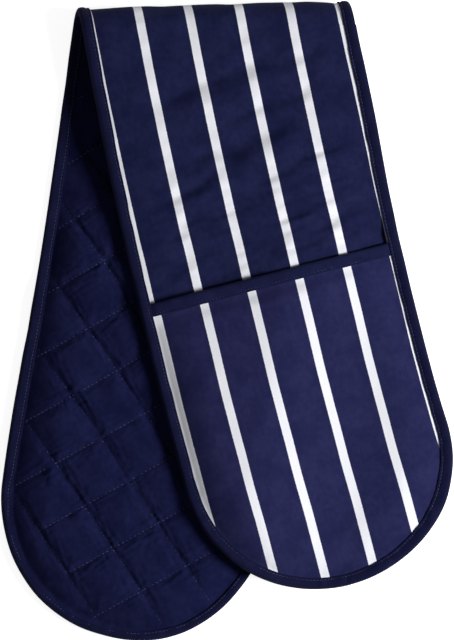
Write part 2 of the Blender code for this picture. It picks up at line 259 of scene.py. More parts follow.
rearMouthAlong = float(mouthAlong(-1, 0))
hingeX = float(flatPlaces(1, 0, mouthAlong(1, 0) - lie["bendSetback"]).x)
shiftX = joints["front_end_bend"]["pos_m"][0] - hingeX
shiftY = joints["fold_hinge_1"]["pos_m"][1] - foldRadius * math.sin(foldStep / 2)


# Distance in plan from the rear half's outer edge, positive outside it.
def outsideRear(x, y):
    sweep = plan["sweep"][-1]
    middleX, middleY = -(foldShift + sweep * leanCos), sweep * leanSin
    angle = np.arctan2(middleY - y, x - middleX)
    endX, endY, endLean = centreLine(-1, plan["length"][-1])
    beyond = np.hypot(x - endX, y - endY) - halfWidth
    beside = np.abs(np.hypot(x - middleX, y - middleY) - sweep) - halfWidth
    return np.where(angle > endLean, beyond, beside)


def rearLevel(spots):
    rise = rearMouthAlong - lie["riseSetback"] - lie["riseStart"]
    return rearRaise * smooth((spots.along - lie["riseStart"]) / rise)


def frontBase(spots):
    down = -spots.y
    settled = mix(2 * foldRadius - bodyStack, restHeight, smooth(down / lie["settle"]))
    share = smooth((outsideRear(spots.x, spots.y) + lie["drapeIn"]) / (lie["drapeIn"] + lie["drapeOut"]))
    droop = (lie["frontClear"] - restHeight) * share
    return settled + droop * smooth((down - lie["droopStart"]) / lie["droop"])


# Points at a depth behind the striped face.
def pointsAt(spots, depth):
    radius = foldRadius - depth
    level = np.where(spots.side < 0, rearLevel(spots) + depth, frontBase(spots) + bodyStack - depth)
    onFold = spots.side == 0
    y = np.where(onFold, plan["foldSpring"] * radius * np.sin(spots.turn), spots.y)
    z = np.where(onFold, foldRadius - radius * np.cos(spots.turn), level)
    return np.stack([spots.x + shiftX, y + shiftY, z], axis=-1)


def crown(inset):
    share = np.clip((inset - tape["width"] - layers["gap"]) / layers["crown"], 0, 1)
    return 1 - (1 - share) ** 2


# Where the pocket's mouth is on either half. There is none on the fold.
def mouthAt(spots):
    rear, front = mouthAlong(-1, spots.across), mouthAlong(1, spots.across)
    return np.where(spots.side < 0, rear, np.where(spots.side > 0, front, math.inf))


def mouthShare(spots):
    return smooth((spots.along - mouthAt(spots) + lie["edgeRise"]) / lie["edgeRise"])


def swellShare(spots):
    return smooth((spots.along - mouthAt(spots) - mouthReach) / tape["pressLength"])


def edgeRoom(spots):
    return mix(mouthClear, layers["gap"], swellShare(spots))


def edgeDepth(spots):
    lifted = pocketEdge + pressedStack + edgeRoom(spots)
    rear = mix(layers["edgeDrop"], lifted, mouthShare(spots)) - rearLevel(spots)
    return np.where(spots.side < 0, rear, layers["edgeDrop"])


def faceDepth(spots):
    return edgeDepth(spots) * (1 - crown(spots.inset))


def bodyWaddingAt(spots):
    return mix(layers["pressed"], layers["wadding"], crown(spots.inset))


def pocketStackAt(spots):
    share = crown(spots.inset) * swellShare(spots)
    return 2 * layers["cloth"] + 2 * layers["gap"] + mix(layers["pressed"], layers["pocketWadding"], share)


def pocketFaceDepth(spots):
    flat = crown(spots.inset) * swellShare(spots)
    rear = pocketEdge * (1 - flat) - rearLevel(spots)
    rise = smooth((spots.along - mouthAt(spots)) / lie["mouthRise"])
    room = mix(edgeRoom(spots), mix(lie["mouthRoom"], lie["frontRoom"], rise), crown(spots.inset))
    return np.where(spots.side < 0, rear, faceDepth(spots) - room - pocketStackAt(spots))


def tapeDepths(spots):
    edge = edgeDepth(spots)
    pocket = mouthShare(spots) * (pressedStack + edgeRoom(spots))
    return edge - tapeCover - pocket, edge + pressedStack + tapeCover


# Quilting: two sets of lines that cross the strip, steep and shallow in the picture. Each has
# its slope and, on the centre line, the place of one line and the pitch, measured from the fold.
# A groove is a dome that sinks towards its line, with a sharp crease of some share in it.
quilting = {
    "steep": {
        "slope": 1.04,
        "first": 0.3130,
        "pitch": 0.0498,
        "seed": 11,
        "depth": 0.0041,
        "sharp": 0.56,
        "crease": 0.0026,
    },
    "shallow": {
        "slope": -0.82,
        "first": 0.3007,
        "pitch": 0.0441,
        "seed": 23,
        "depth": 0.0031,
        "sharp": 0.55,
        "crease": 0.0022,
    },
    "deepest": 0.0062,  # what a groove of any depth comes near to
    # Each gather: height, slant, size, change from line to line and away from it, shift of the seed.
    "gathers": ((0.00045, 0.35, 0.0034, 0.37, 25, 0), (0.00095, -0.5, 0.0090, 0.53, 14, 5)),
    "gatherStart": 0.0016,
    "gatherReach": (0.0085, 0.0035, 0.02, 9, 0.31),
    "strength": (1, 0.15, 0.04, 13, 0.71),
    "uneven": (1, 0.12, 0.05, 31),
    "sag": (0, 0.0008, 0.012, 33),
    "sagLie": (0.8, 0.7),  # slant and stretch
    "lines": (-30, 12),  # numbers of the lines, more than the strip has
    "last": 2,  # the steep line beyond which the rear tip is plain
    "lastFade": 0.10,
    "thinnest": 0.0006,
}
lineSets = ("steep", "shallow")


# Lines are counted from the one at their first place, towards the rear's tip.
def lineCount(spots, which):
    lines = quilting[which]
    return (-spots.strip() - lines["slope"] * spots.across - lines["first"]) / lines["pitch"]


# Distance to the set's nearest line, the number of that line, and the place along it.
def quiltLines(spots, which):
    lines = quilting[which]
    tilt = math.atan(lines["slope"])
    count = lineCount(spots, which)
    number = np.round(count)
    distance = (count - number) * lines["pitch"] * math.cos(tilt)
    return distance, number, -spots.strip() * math.sin(tilt) + spots.across * math.cos(tilt)


def quiltDip(spots):
    grooves, pucker = [], 0
    plain = smooth((lineCount(spots, "steep") - quilting["last"]) / quilting["lastFade"])
    for which in lineSets:
        lines = quilting[which]
        kept = 1 - plain if which == "shallow" else 1
        distance, number, run = quiltLines(spots, which)
        off, seed = np.abs(distance), lines["seed"]
        wide = alongLines(run, number, seed, *quilting["gatherReach"])
        fade = np.exp(-((off / wide) ** 2)) * smooth(off / quilting["gatherStart"])
        for height, slant, size, apart, away, place in quilting["gathers"]:
            noise = ripple(run + slant * distance, number * apart + distance * away, size, seed + place)
            pucker = pucker + kept * fade * height * noise
        half = lines["pitch"] * math.cos(math.atan(lines["slope"])) / 2
        dome = 1 - np.sin(np.pi / 2 * np.clip(off / half, 0, 1))
        groove = mix(dome, np.exp(-off / lines["crease"]), lines["sharp"])
        strength = kept * alongLines(run, number, seed, *quilting["strength"])
        grooves.append(strength * lines["depth"] * groove)
    uneven = varied(spots.strip(), spots.across, *quilting["uneven"])
    slant, stretch = quilting["sagLie"]
    sag = varied(spots.strip() + slant * spots.across, spots.across * stretch, *quilting["sag"])
    groove = quilting["deepest"] * np.tanh(uneven * np.maximum(*grooves) / quilting["deepest"])
    return (groove + pucker + sag) * crown(spots.inset)


# The quilting shows through the striped cloth as soft hollows, and the cloth lies in slack creases
# that cross it at a slant, and in tighter ones above the front pocket's mouth.
slackness = {
    "hollow": {"steep": 0.00020, "shallow": 0.00040},
    "hollowWidth": 0.0065,
    "hollowWander": (0, 0.003, 0.05, 41, 1),
    "hollowShare": (0.7, 0.5, 0.045, 43, 0.7),
    "lie": (0.26, 0.30),  # slant and stretch
    "patches": (0.65, 0.5, 0.05, 47),
    "broad": (0, 0.00155, 0.016, 45),
    "fine": (0, 0.00055, 0.0055, 46),
    "fineCloser": (1.1, 1.6),  # than the broad ones, along and across
    "tight": (0, 0.00260, 0.0042, 49),
    "tightLie": (0.06, 0.75),
    "tightPatches": (0.6, 0.5, 0.03, 50),
    "tightStart": 0.075,
    "tightLength": 0.035,
    "coverLength": 0.01,
    "underPocket": 0.3,
    "rear": 0.15,
}
# Longer creases on the front: across and along at both ends, half width and depth, in metres.
creases = (
    (-0.056, 0.046, 0.050, 0.018, 0.0070, 0.0032),
    (-0.050, 0.086, 0.046, 0.068, 0.0062, 0.0032),
    (-0.014, 0.061, 0.064, 0.046, 0.0048, 0.0018),
    (0.020, 0.036, 0.072, 0.020, 0.0050, 0.0018),
    (-0.074, 0.107, -0.002, 0.093, 0.0044, 0.0020),
    (0.010, 0.101, 0.082, 0.090, 0.0038, 0.0016),
    (-0.068, 0.127, 0.018, 0.114, 0.0034, 0.0015),
    (0.008, 0.124, 0.082, 0.116, 0.0030, 0.0014),
)
creaseForm = {
    "wander": (0, 0.0030, 0.016, 48),
    "fade": 0.3,  # share of the length over which an end fades
    "ridge": (0.55, 2.3, 1.7),  # beside the crease: height, distance and width as shares of its own
}


def creasing(spots):
    along, total = spots.strip() - foldPath, 0
    height, aside, broader = creaseForm["ridge"]
    wandering = varied(spots.across, along, *creaseForm["wander"])
    for startAcross, startAlong, endAcross, endAlong, width, depth in creases:
        length = math.hypot(endAcross - startAcross, endAlong - startAlong)
        towardsAcross, towardsAlong = (endAcross - startAcross) / length, (endAlong - startAlong) / length
        fromStart, upwards = spots.across - startAcross, along - startAlong
        share = (fromStart * towardsAcross + upwards * towardsAlong) / length
        away = upwards * towardsAcross - fromStart * towardsAlong + wandering
        fade = smooth(share / creaseForm["fade"]) * smooth((1 - share) / creaseForm["fade"])
        ridge = height * np.exp(-(((away - aside * width) / (broader * width)) ** 2))
        total = total + depth * fade * (np.exp(-((away / width) ** 2)) - ridge)
    return total


# Depth that the quilting and the slack add to the striped face.
def telegraph(spots):
    strip, dip = spots.strip(), 0
    for which in lineSets:
        distance, number, run = quiltLines(spots, which)
        strength = alongLines(run, number, 0, *slackness["hollowShare"])
        away = distance + alongLines(run, number, 0, *slackness["hollowWander"])
        dip = dip + slackness["hollow"][which] * strength * np.exp(-((away / slackness["hollowWidth"]) ** 2))
    slant, stretch = slackness["lie"]
    lain, across = strip + slant * spots.across, spots.across * stretch
    closer, closerAcross = slackness["fineCloser"]
    slack = varied(lain, across, *slackness["broad"])
    slack = slack + varied(lain * closer - across, across * closerAcross, *slackness["fine"])
    slack = slack * varied(spots.across, strip, *slackness["patches"])
    share = smooth((strip - foldPath - slackness["tightStart"]) / slackness["tightLength"])
    share = share * varied(spots.across, lain, *slackness["tightPatches"])
    slant, stretch = slackness["tightLie"]
    tight = varied(strip + slant * spots.across, across * stretch, *slackness["tight"])
    slack = slack + share * tight + creasing(spots)
    # The rear lies on its striped face, which can't bulge there.
    free = np.where(spots.side < 0, 0, np.where(spots.side > 0, 1, smooth(spots.turn)))
    slack = np.maximum(slack, 0) + free * np.minimum(slack, 0)
    slack = slack * np.where(spots.side < 0, slackness["rear"], 1)
    covered = smooth((np.abs(spots.along) - mouthAt(spots)) / slackness["coverLength"])
    return (dip + slack * mix(1, slackness["underPocket"], covered)) * crown(spots.inset)


# Gathers along the edge. The two waves have their place, size and share.
gathering = {
    "endReach": 0.03,
    "tip": 0.006,
    "cloth": ((0.3, 0.0036, 1), (0.7, 0.009, 0.6)),
    "tape": ((0.3, 0.0031, 1), (0.7, 0.0078, 0.7)),
    "atEnds": 0.8,
    "start": 0.001,
    "striped": (0.00020, 0.006, 51),  # height, reach and seed
    "backing": (0.00022, 0.007, 53),
    "pocket": (0.00018, 0.005, 63),
}


def unevenness(run, waves, seed):
    return sum(share * ripple(run, place, size, seed + i) for i, (place, size, share) in enumerate(waves))


def endCentre(spots):
    return np.where(spots.side < 0, plan["length"][-1], plan["length"][1])


# Length round the outer edge from the rear tip, positive on the right of the strip.
quarterEdge = math.pi / 2 * halfWidth
wholeEdge = 2 * quarterEdge + plan["length"][-1] + foldPath + plan["length"][1]


def edgeRun(spots):
    beyond = spots.along - endCentre(spots)
    turned = halfWidth * np.arctan2(np.abs(spots.across), np.maximum(beyond, tiny))
    run = quarterEdge + plan["length"][-1] + spots.strip()
    run = np.where((beyond > 0) & (spots.side < 0), turned, run)
    run = np.where((beyond > 0) & (spots.side > 0), wholeEdge - turned, run)
    return np.where(spots.across < 0, -run, run)


# How far a place is into a round end, from 0 before it to 1 well inside.
def endShare(spots):
    into = spots.along - endCentre(spots) + gathering["endReach"]
    return np.where(spots.side == 0, 0, smooth(into / (2 * gathering["endReach"])))


def gathers(spots, seed):
    run, tip = edgeRun(spots), gathering["tip"]
    tips = smooth(np.abs(run) / tip) * smooth((wholeEdge - np.abs(run)) / tip)
    return unevenness(run, gathering["cloth"], seed) * tips * (1 + gathering["atEnds"] * endShare(spots))


# Small gathers that the binding pulls into the cloth beside it.
def edgePucker(spots, which):
    size, reach, seed = gathering[which]
    inside, start = spots.inset - tape["width"], gathering["start"]
    fade = np.exp(-np.maximum(inside, 0) / reach)
    return size * gathers(spots, seed) * fade * smooth((inside + start) / (2 * start))


def clothFace(spots):
    return faceDepth(spots) + telegraph(spots) + edgePucker(spots, "striped")


def backingFace(spots):
    solid = faceDepth(spots) + 2 * layers["cloth"] + 2 * layers["gap"] + bodyWaddingAt(spots)
    sewn = solid - quiltDip(spots) - layers["inside"] + edgePucker(spots, "backing")
    return np.maximum(sewn, clothFace(spots) + layers["cloth"] + layers["gap"] + quilting["thinnest"])


def pocketFace(spots):
    soft = crown(spots.inset) * swellShare(spots)
    gentle = sum(varied(spots.across, spots.strip(), *wave) for wave in pocketWaves)
    gentle = np.where(spots.side < 0, 0, gentle)
    return pocketFaceDepth(spots) + gentle * soft + edgePucker(spots, "pocket") * swellShare(spots)


# Soft waves of the front pocket.
pocketWaves = ((0, 0.00065, 0.045, 61), (0, 0.00022, 0.013, 62))


# Places on the strip from their distances across and along it.
def stripPlaces(across, strip):
    across, strip = np.broadcast_arrays(np.asarray(across, float), np.asarray(strip, float))
    into = strip - across * leanSlope
    side = np.where(into < 0, -1, np.where(into > foldPath, 1, 0))
    onFold = foldPlaces(across, into * leanCos / foldRadius)
    x, y, along, inset = onFold.x, np.zeros(len(across)), np.zeros(len(across)), onFold.inset
    for half in (-1, 1):
        here = side == half
        reach = -strip if half < 0 else strip - foldPath
        beyond = np.maximum(reach - plan["length"][half], 0)
        flatX, flatY = onHalf(half, across, reach)
        x, y, along = [np.where(here, new, old) for new, old in ((flatX, x), (flatY, y), (reach, along))]
        inset = np.where(here, halfWidth - np.hypot(across, beyond), inset)
    return Places(side, across, along, inset, x, y, np.where(side == 0, onFold.turn, 0))


def steps(start, end, size):
    count = max(2, round(abs(end - start) / size) + 1)
    return np.linspace(start, end, count)


# A row across a half, at a share of the way from the fold line to where its round end starts.
def flatRow(side, share):
    end = plan["length"][side]
    return lambda across: flatPlaces(side, across, mix(foldAlong(side, across), end, share))


# Area-weighted normals of the vertices of a mesh that is all triangles or all quads.
def vertexNormals(points, faces):
    a, b, c, d = points[faces[:, 0]], points[faces[:, 1]], points[faces[:, 2]], points[faces[:, -1]]
    cross = np.cross(c - a, d - b)
    normals = np.zeros_like(points)
    for corner in range(faces.shape[1]):
        np.add.at(normals, faces[:, corner], cross)
    return normals / np.maximum(np.linalg.norm(normals, axis=1, keepdims=True), tiny)


def linked(name, mesh):
    piece = bpy.data.objects.new(name, mesh)
    bpy.context.scene.collection.objects.link(piece)
    return piece


# Six times the volume that faces enclose, above zero where they face outwards.
def outwardVolume(points, faces):
    corners = [(face[0], face[i], face[i + 1]) for face in faces for i in range(1, len(face) - 1)]
    a, b, c = points[np.array(corners).T]
    return np.einsum("ij,ij->i", a, np.cross(b, c)).sum()


# A closed piece that faces outwards, with its normals and its places on the cloth.
def newPiece(name, points, faces, normals, coords, material):
    if outwardVolume(points, faces) < 0:
        faces, normals = [face[::-1] for face in faces], -normals
    mesh = bpy.data.meshes.new(name)
    mesh.from_pydata([tuple(point) for point in points.tolist()], [], faces)
    layer = mesh.uv_layers.new(name="cloth")
    corners = np.empty(len(mesh.loops), np.int32)
    mesh.loops.foreach_get("vertex_index", corners)
    layer.data.foreach_set("uv", np.ascontiguousarray(coords[corners], np.float32).ravel())
    mesh.materials.append(material)
    mesh.shade_smooth()
    piece = linked(name, mesh)
    mesh.normals_split_custom_set_from_vertices([tuple(normal) for normal in normals.tolist()])
    return piece


# A flat net over a convex stretch of the strip, from its outline, lines that it is cut along and
# the points inside. Points too near the outline or a cut are left out.
class Net:
    def __init__(self, outline, cuts, inner, size):
        lines = [np.vstack([outline, outline[:1]])] + cuts
        fixed, edges = [], []
        for line in lines:
            start = len(fixed)
            fixed += line.tolist()
            edges += [(start + i, start + i + 1) for i in range(len(line) - 1)]
        clear = np.ones(len(inner), bool)
        for line in lines:
            for first, second in zip(line[:-1], line[1:]):
                near = np.abs(inner - (first + second) / 2).max(axis=1) < size * 2
                some = inner[near]
                if len(some) == 0:
                    continue
                along = second - first
                share = np.clip((some - first) @ along / (along @ along), 0, 1)
                gap = np.linalg.norm(some - first - share[:, None] * along, axis=1)
                clear[np.where(near)[0][gap < size * nets["clear"]]] = False
        verts = [Vector(point) for point in fixed + inner[clear].tolist()]
        points, _, faces, *_ = delaunay_2d_cdt(verts, edges, [], 0, nets["same"])
        flat = np.array([tuple(point) for point in points])
        faces = np.array([face for face in faces if len(face) == 3])
        a, b, c = flat[faces[:, 0]], flat[faces[:, 1]], flat[faces[:, 2]]
        twice = (b[:, 0] - a[:, 0]) * (c[:, 1] - a[:, 1]) - (b[:, 1] - a[:, 1]) * (c[:, 0] - a[:, 0])
        self.faces = faces[np.abs(twice) > nets["sliver"]]
        self.spots = stripPlaces(flat[:, 0], flat[:, 1])
        count = plan["folds"]
        into = intoFold(flat[self.faces].mean(axis=1))
        self.region = np.clip(np.floor(into / foldPath * count), -1, count).astype(int)

    # A layer over some of the net, between two depths. Normals are worked out over the whole net,
    # so that two pieces that meet at a cut are lit alike there.
    def layer(self, name, faceA, faceB, material, region=None):
        faces = self.faces if region is None else self.faces[self.region == region]
        used = np.unique(faces)
        number = np.zeros(len(self.spots.x), int)
        number[used] = np.arange(len(used))
        top = number[faces]
        sides, normals = [], []
        for face, sign in ((faceA, 1), (faceB, -1)):
            points = pointsAt(self.spots, face(self.spots))
            sides.append(points[used])
            normals.append(sign * vertexNormals(points, self.faces)[used])
        total = len(used)
        directed = np.concatenate([top[:, [0, 1]], top[:, [1, 2]], top[:, [2, 0]]])
        keys, twins = directed @ (total, 1), directed @ (1, total)
        rim = directed[~np.isin(keys, twins)]
        quads = np.stack([rim[:, 1], rim[:, 0], rim[:, 0] + total, rim[:, 1] + total], axis=1)
        allFaces = top.tolist() + (top[:, ::-1] + total).tolist() + quads.tolist()
        coords = np.stack([self.spots.across[used], self.spots.strip()[used]], axis=1)
        both = np.concatenate([coords, coords])
        return newPiece(name, np.concatenate(sides), allFaces, np.concatenate(normals), both, material)


# The net of each layer is fine where the camera sees it.
nets = {
    "seen": 0.0016,
    "hidden": 0.0024,
    "quilt": 0.0013,
    "tape": 0.0014,
    "edge": 0.0025,
    "quiltCells": 28,
    "hiddenCells": 14,
    "clear": 0.45,  # how near a line a point may be, as a share of the net's size
    "same": 1e-7,
    "sliver": 1e-13,
    "seenFrom": -0.02,  # on the striped side, from the fold's start
    "hiddenFrom": 0.3,  # on the quilted side, as a share of the fold
}


# Points from their distances across and along the strip.
def paired(across, strip):
    return np.stack(np.broadcast_arrays(across, strip), axis=1)


# Outline of the strip at an inset, with a point at both ends of every cut.
def outlineOf(inset, size):
    half = halfWidth - inset
    slant = half * leanSlope
    rearEnd, frontEnd = -plan["length"][-1], plan["length"][1] + foldPath
    turn = steps(0, math.pi, size / half)[1:-1]
    rearArc = paired(half * np.cos(turn), rearEnd - half * np.sin(turn))
    frontArc = paired(-half * np.cos(turn), frontEnd + half * np.sin(turn))

    def edge(sign):
        stops = np.concatenate([[rearEnd], cutsAt + sign * slant, [frontEnd]])
        runs = [steps(low, high, size)[:-1] for low, high in zip(stops, stops[1:])]
        return paired(sign * half, np.append(np.concatenate(runs), frontEnd))

    return np.vstack([edge(-1), frontArc, edge(1)[::-1], rearArc])


def foldCuts(inset, size):
    half = halfWidth - inset
    across = steps(-half, half, size)
    return [paired(across, across * leanSlope + place) for place in cutsAt]


# Points on the crossings of both sets of quilting lines and on equal shares between them.
def quiltGrid(count):
    steep, shallow = quilting["steep"], quilting["shallow"]
    first, last = quilting["lines"]
    numbers = np.arange(first * count, last * count + 1) / count
    i, j = np.meshgrid(numbers, numbers)
    rise = shallow["first"] - steep["first"] + shallow["pitch"] * j - steep["pitch"] * i
    across = rise / (steep["slope"] - shallow["slope"])
    down = steep["first"] + steep["slope"] * across + steep["pitch"] * i
    return paired(across.ravel(), -down.ravel())


def inStrip(points, inset):
    half = halfWidth - inset
    rearEnd, frontEnd = -plan["length"][-1], plan["length"][1] + foldPath
    beyond = np.maximum(np.maximum(rearEnd - points[:, 1], points[:, 1] - frontEnd), 0)
    return np.hypot(points[:, 0], beyond) < half


# Distance of each point past the line where the fold starts.
def intoFold(points):
    return points[:, 1] - points[:, 0] * leanSlope


print("shape of the strip worked out")

# One fold of tape round an edge, as stops along it. Its section is listed from the lip on the
# striped side, round the outer edge, to the lip on the quilted side, and back inside.
seam = {
    "stitchInset": 0.0016,  # from the lip
    "pinch": 0.00030,  # how deep the stitching pulls the tape in
    "lip": (0, 0.00012, 0.00035, 0.0008, 0.00125, 0.0016, 0.00195, 0.0026, 0.0035, 0.0045, 0.0054),
    "rise": (-0.45, -0.20, -0.02, 0.10, -0.08, -0.30, -0.08, 0.20, 0.38, 0.46, 0.42),
    "gather": (0.2, 0.3, 0.5, 0.6, 0.5, 0.4, 0.8, 1.0, 1.0, 0.9, 0.6),
    "riseSize": 0.001,
    "rollRise": 0.8,  # round the outer edge, as a share of the rise beside it
    "rollGather": 0.5,
    "quiltedRise": 0.45,  # the quilted side's rise, as a share of the striped side's
    "quiltedGather": -0.7,
    "gatherSize": 0.00040,
    "gatherShare": (0.6, 0.9),  # on the sides, and more round the ends
    "lipWander": (0, 0.00035, 0.011),
    "edgeWander": (0, 0.00025, 0.017),
    "quiltedApart": 0.5,  # how different the lip's wander is on the quilted side
    "edgeApart": 0.2,
    "rollSteps": 7,
}


def tapeSection():
    lip, rise, gather = [np.array(seam[key], float) for key in ("lip", "rise", "gather")]
    share = 1 - lip / (tape["width"] - tape["roll"])
    turn = np.pi * np.arange(seam["rollSteps"] + 1) / seam["rollSteps"]
    turned = (1 - np.cos(turn)) / 2
    rollRise = mix(rise[-1], rise[-1] * seam["quiltedRise"], turned) * seam["rollRise"] * np.cos(turn)
    rollGather, inside = seam["rollGather"] * np.cos(turn), [0, 0, 0, 0]
    return {
        "share": np.concatenate([share, -np.sin(turn), share[::-1], [1, 0.0, 0.0, 1]]),
        "back": np.concatenate([0 * share, turned, 1 + 0 * share, [1, 1, 0, 0]]),
        "rise": np.concatenate([rise, rollRise, -seam["quiltedRise"] * rise[::-1], inside]),
        "gather": np.concatenate([gather, rollGather, seam["quiltedGather"] * gather[::-1], inside]),
        "inside": np.concatenate([0 * share, 0 * turn, 0 * share, [-1, -1, 1, 1]]),
    }


def lipWander(run, back, seed):
    return varied(run, seam["quiltedApart"] * back, *seam["lipWander"], seed)


# Insets of the section's points, with a slightly wandering lip and outer edge.
def tapeInsets(section, run, width, backWidth, seed):
    lipShare, rollShare = np.maximum(section["share"], 0), np.minimum(section["share"], 0)
    wide = mix(width, backWidth, section["back"]) - tape["roll"]
    inset = tape["roll"] * (1 + rollShare) + lipShare * wide
    inset = inset + lipShare * lipWander(run, section["back"], seed)
    return inset + rollShare * varied(run, seam["edgeApart"], *seam["edgeWander"], seed + 1)


def edgeInsets(section, edge):
    backWidth = mix(tape["width"], tape["endWidth"], endShare(edge))
    return tapeInsets(section, edgeRun(edge), tape["width"], backWidth, wanderSeeds["edge"])


def mouthInsets(section, across):
    return tapeInsets(section, across, tape["mouthWidth"], tape["mouthWidth"], wanderSeeds["mouth"])


wanderSeeds = {"edge": 73, "mouth": 75}
gatherSeeds = {"edge": 71, "mouth": 81}
mouthEnd = {
    "inset": 0.0066,
    "length": 0.0050,
    "cover": 0.00022,
    "thickness": 0.7,  # as a share of the cover
}


def fullThickness(spots):
    return 1


# Tape along a list of stops, between the depths that its outer faces have there.
def makeTape(name, stops, insets, depths, run, material, seed, ghosts=0, body=fullThickness):
    section = tapeSection()
    count = len(section["share"])
    spots = joined([stop(count, lambda place: insets(section, place)) for stop in stops])
    front, back = depths(spots)
    many = {key: np.tile(values, len(stops)) for key, values in section.items()}
    along, full = run(spots), body(spots)
    plain, atEnds = seam["gatherShare"]
    gather = unevenness(along, gathering["tape"], seed) * (plain + atEnds * endShare(spots))
    thickness = mix(mouthEnd["cover"] * mouthEnd["thickness"], tape["thickness"], full)
    relief = many["rise"] * seam["riseSize"] + many["gather"] * gather * seam["gatherSize"]
    depth = mix(front, back, many["back"]) + many["inside"] * thickness - relief * full
    points = pointsAt(spots, depth)
    grid = np.arange(len(stops) * count).reshape(-1, count)
    here, after = grid, np.roll(grid, -1, axis=1)
    quads = np.stack([here[:-1], after[:-1], after[1:], here[1:]], axis=-1).reshape(-1, 4)
    normals = vertexNormals(points, quads)
    kept = slice(ghosts, len(stops) - ghosts)
    points, normals = [values.reshape(-1, count, 3)[kept].reshape(-1, 3) for values in (points, normals)]
    total = len(points) // count
    faces = quads[: (total - 1) * count].tolist()
    faces.append(list(range(count))[::-1])
    faces.append(list(range((total - 1) * count, total * count)))
    lengths = np.linalg.norm(np.diff(points.reshape(-1, count, 3), axis=1), axis=2).mean(axis=0)
    wrapped = np.tile(np.concatenate([[0], np.cumsum(lengths)]), total)
    coords = np.stack([wrapped, along.reshape(-1, count)[kept].ravel()], axis=1)
    return newPiece(name, points, faces, normals, coords, material)


# A row across the strip gives one stop on either side of it. A stop is told how many points it
# has and what gives their insets.
def edgeStop(row, sign):
    def stop(count, insets):
        edge = row(np.full(count, sign * halfWidth))
        return row(sign * (halfWidth - insets(edge)))

    return stop


def endStop(side, angle):
    def stop(count, insets):
        edge = endPlaces(side, np.full(count, halfWidth), angle)
        return endPlaces(side, halfWidth - insets(edge), angle)

    return stop


def mouthStop(side, across):
    def stop(count, insets):
        return flatPlaces(side, across, mouthAlong(side, across) + insets(np.full(count, across)))

    return stop


# The mouth's tape is pressed thin where it runs in under the binding.
def mouthDepths(spots):
    outer = pocketFaceDepth(spots)
    cover = mix(mouthEnd["cover"], tapeCover, mouthPress(spots))
    return outer - cover, outer + pressedStack + cover


def mouthPress(spots):
    return smooth((spots.inset - mouthEnd["inset"]) / mouthEnd["length"])


# Rows across the strip at a distance from the fold line, ghost rows included.
arc = math.pi * foldRadius


def pathRow(distance):
    if distance < 0:
        return lambda across: flatPlaces(-1, across, foldAlong(-1, across) - distance)
    if distance <= arc:
        return lambda across: foldPlaces(across, distance / foldRadius)
    return lambda across: flatPlaces(1, across, foldAlong(1, across) + distance - arc)


def bodyRows(side, size):
    count = len(steps(0, plan["length"][side], size))
    ghost = pathRow(size if side < 0 else arc - size)
    return [ghost] + [flatRow(side, i / (count - 1)) for i in range(count)]


def foldRows(segment, size):
    start, end = arc * segment / plan["folds"], arc * (segment + 1) / plan["folds"]
    places = steps(start, end, size)
    gap = places[1] - places[0]
    return [pathRow(place) for place in [start - gap, *places, end + gap]]


# Sockets that take part in Python arithmetic.
class Value:
    def __init__(self, nodes, socket):
        self.nodes = nodes
        self.socket = socket

    # Another output of the same node.
    def at(self, output):
        return Value(self.nodes, self.socket.node.outputs[output])

    def __add__(self, other):
        return self.nodes.maths("ADD", self, other)

    def __sub__(self, other):
        return self.nodes.maths("SUBTRACT", self, other)

    def __rsub__(self, other):
        return self.nodes.maths("SUBTRACT", other, self)

    def __mul__(self, other):
        return self.nodes.maths("MULTIPLY", self, other)

    def __truediv__(self, other):
        return self.nodes.maths("DIVIDE", self, other)

    __radd__ = __add__
    __rmul__ = __mul__


class Nodes:
    def __init__(self, tree):
        self.tree = tree
        tree.nodes.clear()

    # A node of a type, with its settings set first and then the values or links of its sockets.
    def node(self, kind, settings=None, sockets=None, output=0):
        made = self.tree.nodes.new(kind)
        for key, value in (settings or {}).items():
            setattr(made, key, value)
        for key, value in (sockets or {}).items():
            if isinstance(value, Value):
                self.tree.links.new(value.socket, made.inputs[key])
            else:
                made.inputs[key].default_value = value
        return Value(self, made.outputs[output]) if made.outputs else None

    def maths(self, operation, *values):
        return self.node("ShaderNodeMath", {"operation": operation}, dict(enumerate(values)))


